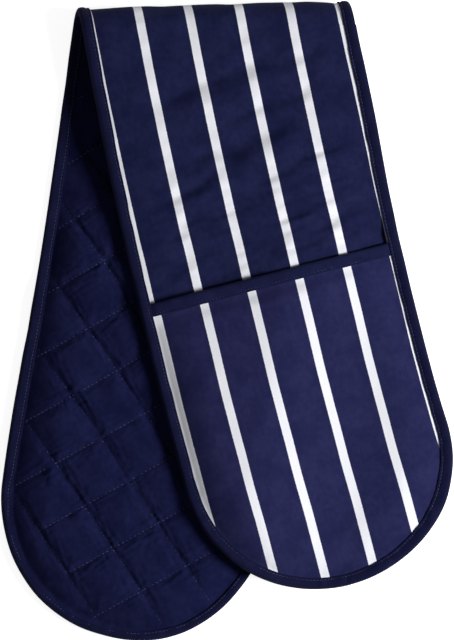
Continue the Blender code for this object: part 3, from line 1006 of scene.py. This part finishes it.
class Finish(Nodes):
    def __init__(self, name):
        self.material = bpy.data.materials.new(name)
        self.material.use_nodes = True
        super().__init__(self.material.node_tree)

    def colours(self, share, first, second):
        sockets = {0: share, 6: first, 7: second}
        return self.node("ShaderNodeMix", {"data_type": "RGBA"}, sockets, 2)

    def scaled(self, colour, share):
        return self.node("ShaderNodeVectorMath", {"operation": "SCALE"}, {0: colour, 3: share})

    # 0 below low, 1 above high, and smooth between.
    def ramp(self, value, low, high):
        sockets = {"Value": value, "From Min": low, "From Max": high}
        return self.node("ShaderNodeMapRange", {"interpolation_type": "SMOOTHSTEP"}, sockets)

    def noise(self, vector, scale, detail):
        sockets = {"Vector": vector, "Scale": scale, "Detail": detail, "Roughness": 0.5}
        return self.node("ShaderNodeTexNoise", {}, sockets)

    def sine(self, value, pitch):
        return self.maths("SINE", value * (2 * math.pi / pitch))

    # Distance from the nearest of a row of lines one pitch apart, the first at zero.
    def toNearest(self, value, pitch):
        return self.maths("PINGPONG", value / pitch, 0.5) * pitch

    def place(self):
        self.clothPlace = self.node("ShaderNodeUVMap", {"uv_map": "cloth"})
        across = self.node("ShaderNodeSeparateXYZ", {}, {0: self.clothPlace})
        return across, across.at(1)

    def stretched(self, x, y):
        return self.node("ShaderNodeCombineXYZ", {}, {0: x, 1: y})

    # Cloth: colour, roughness and height vary, and the rest is the same all over.
    def cloth(self, colour, roughness, height, look):
        uneven = {"Strength": look["bump"], "Distance": weave["height"], "Height": height}
        sockets = {
            "Base Color": colour,
            "Roughness": roughness,
            "Specular IOR Level": look["gloss"],
            "Sheen Weight": look["sheen"],
            "Sheen Roughness": look["sheenRoughness"],
            "Sheen Tint": look["sheenTint"],
            "Normal": self.node("ShaderNodeBump", {}, uneven),
        }
        shader = self.node("ShaderNodeBsdfPrincipled", {}, sockets)
        self.node("ShaderNodeOutputMaterial", {}, {"Surface": shader})
        return self.material


stripes = {
    "width": 0.0057,
    "pitch": 0.0332,
    "offsets": (-0.0009, 0.0013),  # at the fold and at the front pocket's mouth
    "pocketPitch": 0.0329,
    "pocketOffsets": (0.0023, 0.0012),  # at the mouth and at the tip
    "pocketBulge": 0.012,  # how much closer the stripes come at the pocket's rounded sides
    "softness": 0.00022,
    "wander": (0.0005, 22),  # distance and scale
    "fray": (0.0005, 1500),
    "dust": (0.30, 0.75),
    "relief": 0.08,
    "white": (0.870, 0.875, 0.930, 1),
    "whiteShade": (0.800, 0.808, 0.870, 1),
}
clothLook = {
    "roughness": 0.86,
    "bump": 0.35,
    "gloss": 0.10,
    "sheen": 0.03,
    "sheenRoughness": 0.45,
    "sheenTint": (0.62, 0.64, 0.85, 1),
}
tapeLook = dict(clothLook, roughness=0.84, bump=0.55, gloss=0.12, sheenRoughness=0.4)
looks = {
    # The mouth's tape is the binding's own tape, painted lighter for the light that its flat face catches: a
    # lit copy.
    "mouthTape": dict(tapeLook, navy=(0.0055, 0.0068, 0.0400, 1), worn=(0.0130, 0.0150, 0.0640, 1)),
    "bindingTape": dict(tapeLook, navy=(0.0032, 0.0042, 0.0290, 1), worn=(0.0088, 0.0100, 0.0490, 1)),
    "stripedCloth": dict(clothLook, navy=(0.0058, 0.0078, 0.0430, 1), worn=(0.0125, 0.0150, 0.0610, 1)),
    "pocketCloth": dict(
        clothLook,
        navy=(0.0108, 0.0120, 0.0600, 1),
        worn=(0.0195, 0.0205, 0.0800, 1),
        sheenTint=(0.66, 0.64, 0.85, 1),
    ),
    "quiltedBacking": {
        "navy": (0.0042, 0.0054, 0.0350, 1),
        "worn": (0.0092, 0.0108, 0.0530, 1),
        "roughness": 0.90,
        "bump": 0.40,
        "gloss": 0.08,
        "sheen": 0.02,
        "sheenRoughness": 0.5,
        "sheenTint": (0.60, 0.62, 0.85, 1),
    },
    "thread": {
        "pale": (0.075, 0.082, 0.190, 1),
        "dark": (0.035, 0.040, 0.110, 1),
        "roughness": 0.6,
        "bump": 0.2,
        "gloss": 0.35,
        "sheen": 0.1,
        "sheenRoughness": 0.4,
        "sheenTint": (0.8, 0.8, 0.9, 1),
    },
}
# Uneven, worn, shade and relief have a share for each of the noises and ribs that they add up.
weave = {
    "twill": 0.00090,
    "thread": 0.00045,
    "backing": 0.00060,
    "height": 0.001,  # of the bumps in all
    "unevenScales": (60, 260),
    "uneven": (0.6, 0.4),
    "slub": (9, 900),  # stretch and scale
    "warp": (0.04, 2200),
    "worn": (0.65, 0.2, 0.15),
    "wornFrom": (0.40, 0.62),
    "shade": (0.10, 0.08),
    "relief": (0.05, 0.05, 0.10),
    "roughness": 0.12,
}


# Sum of values, each times its share.
def weighted(shares, *values):
    return reduce(add, [value * share for value, share in zip(values, shares)])


# Cloth, with stripes where it is given their pitch and their offset along it.
def clothFinish(name, look, twill, pitch=None, offset=None, bulge=0.0):
    finish = Finish(name)
    across, along = finish.place()
    noises = [finish.noise(finish.clothPlace, scale, detail=3) for scale in weave["unevenScales"]]
    uneven = weighted(weave["uneven"], *noises)
    (slubStretch, slubScale), (warpStretch, warpScale) = weave["slub"], weave["warp"]
    slub = finish.noise(finish.stretched(across * slubStretch, along), slubScale, detail=2)
    warp = finish.noise(finish.stretched(across, along * warpStretch), warpScale, detail=1)
    rib = finish.sine(across + along, twill)
    thread = finish.sine(across, weave["thread"]) * finish.sine(along, weave["thread"])
    worn = finish.ramp(weighted(weave["worn"], uneven, slub, warp), *weave["wornFrom"])
    navy = finish.colours(worn, look["navy"], look["worn"])
    colour = finish.scaled(navy, 1 + weighted(weave["shade"], rib, thread))
    height = weighted(weave["relief"], rib, thread, slub)
    if pitch:
        wander, scale = stripes["wander"]
        wobble = (finish.noise(finish.stretched(0.0, along), scale, detail=1) - 0.5) * (2 * wander)
        shifted = across * (1 + across * across * (bulge / halfWidth ** 2)) - offset(along) + wobble
        fray, scale = stripes["fray"]
        frayed = (finish.noise(finish.clothPlace, scale, detail=1) - 0.5) * fray
        half, soft = stripes["width"] / 2, stripes["softness"]
        distance = finish.toNearest(shifted + pitch / 2, pitch) + frayed
        mask = 1 - finish.ramp(distance, half - soft, half + soft)
        dusty = finish.ramp((uneven + slub) * 0.5, *stripes["dust"])
        white = finish.colours(dusty, stripes["whiteShade"], stripes["white"])
        colour = finish.colours(mask, colour, white)
        height = height + mask * stripes["relief"]
    return finish.cloth(colour, look["roughness"] + (uneven - 0.5) * weave["roughness"], height, look)


# The stripes run a little out of line with the cut of the cloth.
mouthPlace = foldPath + plan["length"][1] + halfWidth - plan["pocketLength"]


def bodyOffset(along):
    near, far = stripes["offsets"]
    return near + (along - foldPath) * ((far - near) / (mouthPlace - foldPath))


def pocketOffset(along):
    near, far = stripes["pocketOffsets"]
    return near + (along - mouthPlace) * ((far - near) / plan["pocketLength"])


tapeWeave = {
    "pitch": 0.0011,
    "slant": (0.004, 1.6),  # pitch across the tape and how far the ribs lean
    "uneven": 90,
    "fine": (3, 1400),
    "worn": (0.6, 0.25, 0.06),
    "wornFrom": (0.36, 0.72),
    "relief": (0.10, 0.12),
    "roughness": 0.10,
}


def tapeFinish(name):
    look = looks[name]
    finish = Finish(name)
    wrapped, along = finish.place()
    uneven = finish.noise(finish.clothPlace, tapeWeave["uneven"], detail=3)
    stretch, scale = tapeWeave["fine"]
    fine = finish.noise(finish.stretched(wrapped * stretch, along), scale, detail=2)
    pitch, leaning = tapeWeave["slant"]
    rib = finish.sine(along + finish.toNearest(wrapped, pitch) * leaning, tapeWeave["pitch"])
    worn = finish.ramp(weighted(tapeWeave["worn"], uneven, fine, rib), *tapeWeave["wornFrom"])
    colour = finish.colours(worn, look["navy"], look["worn"])
    roughness = look["roughness"] + (fine - 0.5) * tapeWeave["roughness"]
    return finish.cloth(colour, roughness, weighted(tapeWeave["relief"], rib, fine), look)


threadWeave = {"scale": 700, "from": (0.3, 0.7), "roughness": 0.1, "relief": 0.1}


def threadFinish():
    look = looks["thread"]
    finish = Finish("sewingThread")
    place = finish.node("ShaderNodeTexCoord", {}, {}, 3)
    uneven = finish.noise(place, threadWeave["scale"], detail=2)
    colour = finish.colours(finish.ramp(uneven, *threadWeave["from"]), look["dark"], look["pale"])
    roughness = look["roughness"] + (uneven - 0.5) * threadWeave["roughness"]
    return finish.cloth(colour, roughness, uneven * threadWeave["relief"], look)


stripedCloth = clothFinish(
    "stripedCloth", looks["stripedCloth"], weave["twill"], stripes["pitch"], bodyOffset
)
pocketCloth = clothFinish(
    "pocketStripedCloth",
    looks["pocketCloth"],
    weave["twill"],
    stripes["pocketPitch"],
    pocketOffset,
    stripes["pocketBulge"],
)
quiltedBacking = clothFinish("quiltedBacking", looks["quiltedBacking"], weave["backing"])
bindingTape = tapeFinish("bindingTape")
# The mouth's tape takes the lit copy of the binding's tape: painted light.
litMouthTapeFinish = tapeFinish("mouthTape")
sewingThread = threadFinish()
print("finishes made")


def squareGrid(size, low, high):
    cells = math.ceil(halfWidth / size)
    across, strip = np.meshgrid(
        np.arange(-cells, cells + 1) * size,
        np.arange(math.floor(low / size), math.ceil(high / size)) * size,
    )
    return paired(across.ravel(), strip.ravel())


def stripNet(inner, size):
    inset = nets["edge"]
    return Net(outlineOf(inset, size), foldCuts(inset, size), inner[inStrip(inner, inset)], size)


# Striped cloth: coarse on the rear half, which lies face down.
def clothNet():
    low, high = -plan["length"][-1] - halfWidth, plan["length"][1] + foldPath + halfWidth
    fine, coarse = squareGrid(nets["seen"], low, high), squareGrid(nets["hidden"], low, high)
    start = nets["seenFrom"]
    inner = np.vstack([fine[intoFold(fine) >= start], coarse[intoFold(coarse) < start]])
    return stripNet(inner, nets["seen"])


# Quilted side: its points lie on the lines of stitching, and it is coarse under the front half.
def quiltNet():
    fine, coarse = quiltGrid(nets["quiltCells"]), quiltGrid(nets["hiddenCells"])
    end = nets["hiddenFrom"] * foldPath
    inner = np.vstack([fine[intoFold(fine) < end], coarse[intoFold(coarse) >= end]])
    return stripNet(inner, nets["quilt"])


def pocketNet(side, size):
    half, end = halfWidth - nets["edge"], plan["length"][side]

    def mouth(across):
        return mouthAlong(side, across) + tape["layerInset"]

    across = steps(-half, half, size)
    turn = steps(0, math.pi, size / half)[1:-1]
    outline = np.vstack([
        paired(across, mouth(across)),
        paired(half, steps(mouth(half), end, size)[1:]),
        paired(half * np.cos(turn), end + half * np.sin(turn)),
        paired(-half, steps(end, mouth(-half), size)[:-1]),
    ])
    inner = squareGrid(size, 0, end + halfWidth)
    beyond = np.maximum(inner[:, 1] - end, 0)
    inner = inner[(np.hypot(inner[:, 0], beyond) < half) & (inner[:, 1] > mouth(inner[:, 0]))]
    # The strip runs back from the fold line on the rear half, and on from the fold on the front.
    for points in (outline, inner):
        points[:, 1] = side * points[:, 1] + (foldPath if side > 0 else 0)
    return Net(outline, [], inner, size)


def clothBack(face, deeper=0.0):
    return lambda spots: face(spots) + layers["cloth"] + deeper


def pocketLiningFace(spots):
    return pocketFaceDepth(spots) + pocketStackAt(spots) - layers["inside"]


striped, quilted = clothNet(), quiltNet()
print(f"nets made: {len(striped.faces)} and {len(quilted.faces)} triangles")


def bodyLayers(name, region):
    cloth = striped.layer(name + "StripedCloth", clothFace, clothBack(clothFace), stripedCloth, region)
    padFront = clothBack(clothFace, layers["gap"])
    return cloth, quilted.layer(name + "QuiltedPad", padFront, backingFace, quiltedBacking, region)


def pocketLayers(name, side, size):
    net, hidden = pocketNet(side, size), pocketNet(side, nets["hidden"])
    cloth = net.layer(name + "PocketCloth", pocketFace, clothBack(pocketFace), pocketCloth)
    padFront = clothBack(pocketFace, layers["gap"])
    return cloth, hidden.layer(name + "PocketPad", padFront, pocketLiningFace, quiltedBacking)


# Stops round a half's end, from the fold on the right to the fold on the left.
def aroundEnd(side):
    rows = bodyRows(side, nets["tape"])
    spokes = round(math.pi * halfWidth / nets["tape"])
    stops = [edgeStop(row, 1) for row in rows]
    stops += [endStop(side, math.pi * step / spokes) for step in range(1, spokes)]
    return stops + [edgeStop(row, -1) for row in rows[::-1]]


def acrossMouth(side):
    reach = halfWidth - mouthEnd["inset"]
    return [mouthStop(side, across) for across in steps(-reach, reach, nets["tape"])]


def bodyTape(name, stops):
    seed = gatherSeeds["edge"]
    return makeTape(name, stops, edgeInsets, tapeDepths, edgeRun, bindingTape, seed, ghosts=1)


def mouthTape(name, side):
    stops, material, seed = acrossMouth(side), litMouthTapeFinish, gatherSeeds["mouth"]
    return makeTape(name, stops, mouthInsets, mouthDepths, acrossOf, material, seed, body=mouthPress)


def acrossOf(spots):
    return spots.across


def makeHalf(name, side, region, size):
    cloth, pad = bodyLayers(name, region)
    edge = bodyTape(name + "EdgeBinding", aroundEnd(side))
    pocketParts = pocketLayers(name, side, size)
    mouth = mouthTape(name + "MouthBinding", side)
    print(f"{name} half made")
    return cloth, pad, edge, *pocketParts, mouth


rearParts = makeHalf("rear", -1, -1, nets["hidden"])
frontParts = makeHalf("front", 1, plan["folds"], nets["seen"])
frontCloth, frontPad, frontEdge, frontPocketCloth, frontPocketPad, frontMouth = frontParts

foldPieces = []
for segment in range(plan["folds"]):
    rows = foldRows(segment, nets["tape"])
    name = f"fold{segment + 1}"
    cloth, pad = bodyLayers(name, segment)
    left = bodyTape(name + "LeftBinding", [edgeStop(row, -1) for row in rows])
    right = bodyTape(name + "RightBinding", [edgeStop(row, 1) for row in rows])
    foldPieces.append((cloth, pad, left, right))
print("fold made")


# Stitches: small ellipsoids of thread along lines of stitching.
stitching = {
    "edge": {"Spacing": 0.0024, "Length": 0.0017, "Radius": 0.00020, "Tilt": 0.10, "Seed": 3},
    "quilt": {"Spacing": 0.0031, "Length": 0.0020, "Radius": 0.00021, "Tilt": 0.12, "Seed": 4},
    "sink": 0.00004,  # of each stitch's middle into the cloth
    "shallow": 0.00002,  # and along either set of quilting lines
    "steep": 0.00018,
    "quiltMargin": 0.0012,
    "quiltStep": 0.0011,
    "pastLast": 0.02,  # how far shallow lines run past the last steep one, in pitches
    "fewest": 3,  # points that make a line
}


def stitchTree():
    tree = bpy.data.node_groups.new("stitching", "GeometryNodeTree")
    kinds = {
        "Geometry": "Geometry",
        "Spacing": "Float",
        "Length": "Float",
        "Radius": "Float",
        "Tilt": "Float",
        "Seed": "Int",
        "Thread": "Material",
    }
    for name, kind in kinds.items():
        tree.interface.new_socket(name, in_out="INPUT", socket_type="NodeSocket" + kind)
    tree.interface.new_socket("Geometry", in_out="OUTPUT", socket_type="NodeSocketGeometry")
    node = Nodes(tree).node
    given = node("NodeGroupInput").at
    curves = node("GeometryNodeMeshToCurve", {}, {"Mesh": given("Geometry")})
    spacing = {"Curve": curves, "Length": given("Spacing")}
    points = node("GeometryNodeCurveToPoints", {"mode": "LENGTH"}, spacing)
    aligned = node("FunctionNodeAlignRotationToVector", {"axis": "Z"}, {"Vector": points.at("Tangent")})
    limits = {2: given("Tilt") * -1.0, 3: given("Tilt"), 8: given("Seed")}
    tilt = node("FunctionNodeRandomValue", {"data_type": "FLOAT"}, limits, 1)
    turn = {"Rotation": aligned, "Rotate By": node("ShaderNodeCombineXYZ", {}, {0: tilt, 1: tilt})}
    tilted = node("FunctionNodeRotateRotation", {"rotation_space": "LOCAL"}, turn)
    ball = node("GeometryNodeMeshUVSphere", {}, {"Segments": 6, "Rings": 4, "Radius": 1.0})
    radius, half = given("Radius"), given("Length") * 0.5
    size = node("ShaderNodeCombineXYZ", {}, {0: radius, 1: radius, 2: half})
    stitch = node("GeometryNodeTransform", {}, {"Geometry": ball, "Scale": size})
    rounded = node("GeometryNodeSetShadeSmooth", {}, {"Geometry": stitch})
    placing = {"Points": points, "Instance": rounded, "Rotation": tilted}
    placed = node("GeometryNodeInstanceOnPoints", {}, placing)
    real = node("GeometryNodeRealizeInstances", {}, {"Geometry": placed})
    finished = node("GeometryNodeSetMaterial", {}, {"Geometry": real, "Material": given("Thread")})
    node("NodeGroupOutput", {}, {0: finished})
    return tree


stitchNodes = stitchTree()


# One piece of stitches along several lines of points.
def makeStitches(name, lines, kind):
    points, edges = [], []
    for line in lines:
        start = len(points)
        points += [tuple(point) for point in line.tolist()]
        edges += [(start + i, start + i + 1) for i in range(len(line) - 1)]
    guide = bpy.data.meshes.new(name + "Guide")
    guide.from_pydata(points, edges, [])
    carrier = linked(name + "Guide", guide)
    modifier = carrier.modifiers.new("stitching", "NODES")
    modifier.node_group = stitchNodes
    values = dict(stitching[kind], Thread=sewingThread)
    for item in stitchNodes.interface.items_tree:
        if item.in_out == "INPUT" and item.name in values:
            modifier[item.identifier] = values[item.name]
    graph = bpy.context.evaluated_depsgraph_get()
    mesh = bpy.data.meshes.new_from_object(carrier.evaluated_get(graph))
    mesh.name = name
    bpy.data.objects.remove(carrier)
    bpy.data.meshes.remove(guide)
    return linked(name, mesh)


# Where the stitching lies on the striped side (back 0) and on the quilted side (back 1) of the
# binding, and of a mouth's tape.
def stitchedInset(edge, back):
    width = mix(tape["width"], mix(tape["width"], tape["endWidth"], endShare(edge)), back)
    wander = lipWander(edgeRun(edge), back, wanderSeeds["edge"])
    return width + wander - seam["stitchInset"] * mix(1, width / tape["width"], back)


def stitchedMouth(across, back):
    return tape["mouthWidth"] + lipWander(across, back, wanderSeeds["mouth"]) - seam["stitchInset"]


# Lines of stitching through both sides of a tape, along its stops.
def sewnLines(stops, inset=stitchedInset, depths=tapeDepths):
    lines = []
    for back in (0, 1):
        spots = joined([stop(1, lambda place: inset(place, back)) for stop in stops])
        front, behind = depths(spots)
        depth = front + seam["pinch"] + stitching["sink"]
        if back:
            depth = behind - seam["pinch"] * seam["quiltedRise"] - stitching["sink"]
        lines.append(pointsAt(spots, depth))
    return lines


def foldEdgeLines(segment):
    rows = foldRows(segment, nets["tape"])[1:-1]
    return [line for sign in (1, -1) for line in sewnLines([edgeStop(row, sign) for row in rows])]


def quiltSpots():
    reach, found = halfWidth - tape["endWidth"], []
    across = steps(-reach, reach, stitching["quiltStep"])
    for which in lineSets:
        lines = quilting[which]
        for number in range(*quilting["lines"]):
            strip = -(lines["first"] + lines["pitch"] * number + lines["slope"] * across)
            inside = inStrip(paired(across, strip), tape["endWidth"])
            if inside.sum() > stitching["fewest"]:
                spots = stripPlaces(across[inside], strip[inside])
                sewn = lineCount(spots, "steep") < quilting["last"] + stitching["pastLast"]
                sewn |= which == "steep"
                sewn &= spots.inset > tape["width"] + stitching["quiltMargin"]
                found.append((which, spots.picked(sewn)))
    return found


# The quilting's lines within one stretch of the strip.
def quiltLinesIn(wanted):
    lines = []
    for which, spots in allQuilting:
        some = spots.picked(wanted(spots))
        if len(some.x) > 2:
            lines.append(pointsAt(some, backingFace(some) - stitching[which]))
    return lines


allQuilting = quiltSpots()


def inFold(segment):
    start, end = foldStep * segment, foldStep * (segment + 1)
    return lambda spots: (spots.side == 0) & (spots.turn >= start) & (spots.turn <= end)


def halfStitches(name, side):
    edge = sewnLines(aroundEnd(side)[1:-1])
    mouth = sewnLines(acrossMouth(side), stitchedMouth, mouthDepths)
    quilt = quiltLinesIn(lambda spots: spots.side == side)
    kinds = (("Edge", edge, "edge"), ("Mouth", mouth, "edge"), ("Quilt", quilt, "quilt"))
    return [makeStitches(name + word + "Stitches", lines, kind) for word, lines, kind in kinds]


rearStitches, rearMouthStitches, rearQuilting = halfStitches("rear", -1)
frontStitches, frontMouthStitches, frontQuilting = halfStitches("front", 1)
foldStitches = []
for segment in range(plan["folds"]):
    edge = makeStitches(f"fold{segment + 1}EdgeStitches", foldEdgeLines(segment), "edge")
    lines = quiltLinesIn(inFold(segment))
    quilt = [makeStitches(f"fold{segment + 1}QuiltStitches", lines, "quilt")] if lines else []
    foldStitches.append((edge, *quilt))
bpy.data.node_groups.remove(stitchNodes)
print("stitches made")


# What moves with what.
for piece in (*rearParts, rearStitches, rearMouthStitches, rearQuilting):
    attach(piece, "rear_half")
for piece in (frontPocketCloth, frontPocketPad, frontMouth, frontMouthStitches):
    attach(piece, "front_hand_end")

# The front end's joint, its place and axis; the front half's own pieces have their transforms baked in.
bendPlace, bendAxis = [np.array(joints["front_end_bend"][key]) for key in ("pos_m", "axis")]
for piece in (frontCloth, frontPad, frontEdge, frontStitches, frontQuilting):
    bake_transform(piece)

foldMiddle = foldRadius - bodyStack / 2
bodies = ["rear_half", "fold_strip_1", "fold_strip_2", "fold_strip_3", "fold_strip_4", "front_band"]
for segment in range(plan["folds"]):
    angle = foldStep * (segment + 0.5)
    y, z = shiftY + foldMiddle * math.sin(angle), foldRadius - foldMiddle * math.cos(angle)
    for piece in foldPieces[segment] + foldStitches[segment]:
        bodies[segment + 1]
        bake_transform(piece)

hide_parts("rear_striped_cloth")
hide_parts("rear_wadding", "rear_quilted_backing")
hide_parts("rear_edge_binding")
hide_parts("rear_pocket_cloth")
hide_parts("rear_pocket_wadding", "rear_pocket_lining")
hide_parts("rear_mouth_binding")
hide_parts("front_band_striped_cloth", "front_end_striped_cloth")
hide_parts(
    "front_band_wadding",
    "front_band_quilted_backing",
    "front_end_wadding",
    "front_end_quilted_backing",
)
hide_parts("front_band_left_binding", "front_band_right_binding", "front_end_edge_binding")
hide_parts("front_pocket_cloth")
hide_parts("front_pocket_wadding", "front_pocket_lining")
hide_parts("front_mouth_binding")
for segment, (cloth, pad, left, right) in enumerate(foldPieces[:-1], 1):
    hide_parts(f"fold_{segment}_striped_cloth")
    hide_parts(f"fold_{segment}_wadding", f"fold_{segment}_quilted_backing")
    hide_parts(f"fold_{segment}_left_binding")
    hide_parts(f"fold_{segment}_right_binding")

# Finishes of the record, by a word in a piece's name. The loop below only looks for each word in the pieces'
# names.
slots = {
    "Cloth": "striped_cloth",
    "Pad": "plain_cloth",
    "Binding": "binding_tape",
    "Stitches": "binding_tape",
}
for piece in bpy.context.scene.objects:
    if piece.type != "MESH" or "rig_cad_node" in piece:
        continue
    for word, slot in slots.items():
        word in piece.name


# Floor, light and camera.
studio = {
    "floorAlbedo": 0.90,
    "floorGlow": 0.85,
    "floorReach": 6.0,
    "floorHeight": -0.0002,
    "worldLight": 0.15,
    "keyPower": 77,
    "keyAway": 2.6,
    "keySize": 0.95,
    "keyTurn": math.radians(-9),
    "keyHeight": math.radians(42),
}
camera = {
    "aim": (0.00368, 0.00022, 0.02),
    "turn": math.radians(-1.42),
    "height": 9.0,
    "frameHeight": 0.4271,  # metres at the aim, over the picture's 640 pixels
    "sensor": 36,
    "farthest": 20,
}


def makeFloor():
    reach, height = studio["floorReach"], studio["floorHeight"]
    corners = [(x * reach, y * reach, height) for x, y in ((-1, -1), (1, -1), (1, 1), (-1, 1))]
    mesh = bpy.data.meshes.new("floor")
    mesh.from_pydata(corners, [], [(0, 1, 2, 3)])
    finish = Finish("paleFloor")
    albedo = studio["floorAlbedo"]
    plainFloor = finish.node("ShaderNodeBsdfDiffuse", {}, {"Color": (albedo, albedo, albedo, 1)})
    strength = finish.node("ShaderNodeLightPath").at("Is Camera Ray") * studio["floorGlow"]
    glow = finish.node("ShaderNodeEmission", {}, {"Color": (1, 1, 1, 1), "Strength": strength})
    both = finish.node("ShaderNodeAddShader", {}, {0: plainFloor, 1: glow})
    finish.node("ShaderNodeOutputMaterial", {}, {"Surface": both})
    mesh.materials.append(finish.material)
    floor = linked("floor", mesh)


def makeWorld():
    world = bpy.data.worlds.new("studio")
    world.use_nodes = True
    node = Nodes(world.node_tree).node
    seen = node("ShaderNodeLightPath").at("Is Camera Ray")
    strength = node("ShaderNodeMapRange", {}, {"Value": seen, "To Min": studio["worldLight"], "To Max": 1.0})
    background = node("ShaderNodeBackground", {}, {"Color": (1, 1, 1, 1), "Strength": strength})
    node("ShaderNodeOutputWorld", {}, {"Surface": background})
    bpy.context.scene.world = world


def makeKey():
    lamp = bpy.data.lights.new("key", "AREA")
    lamp.shape = "DISK"
    lamp.size = studio["keySize"]
    lamp.energy = studio["keyPower"]
    key = linked("key", lamp)
    flatShare, up = math.cos(studio["keyHeight"]), math.sin(studio["keyHeight"])
    towards = Vector((math.cos(studio["keyTurn"]) * flatShare, math.sin(studio["keyTurn"]) * flatShare, up))
    key.location = towards * studio["keyAway"]
    key.rotation_euler = towards.to_track_quat("Z", "Y").to_euler()


def makeCamera():
    lens = bpy.data.cameras.new("camera")
    lens.sensor_width = camera["sensor"]
    lens.lens = camera["sensor"] * (camera["height"] - camera["aim"][2]) / camera["frameHeight"]
    lens.clip_end = camera["farthest"]
    viewer = linked("camera", lens)
    viewer.location = (camera["aim"][0], camera["aim"][1], camera["height"])
    viewer.rotation_euler = (0, 0, camera["turn"])
    bpy.context.scene.camera = viewer


makeFloor()
makeWorld()
makeKey()
makeCamera()
bpy.context.scene.view_settings.view_transform = "Standard"
print("studio set")
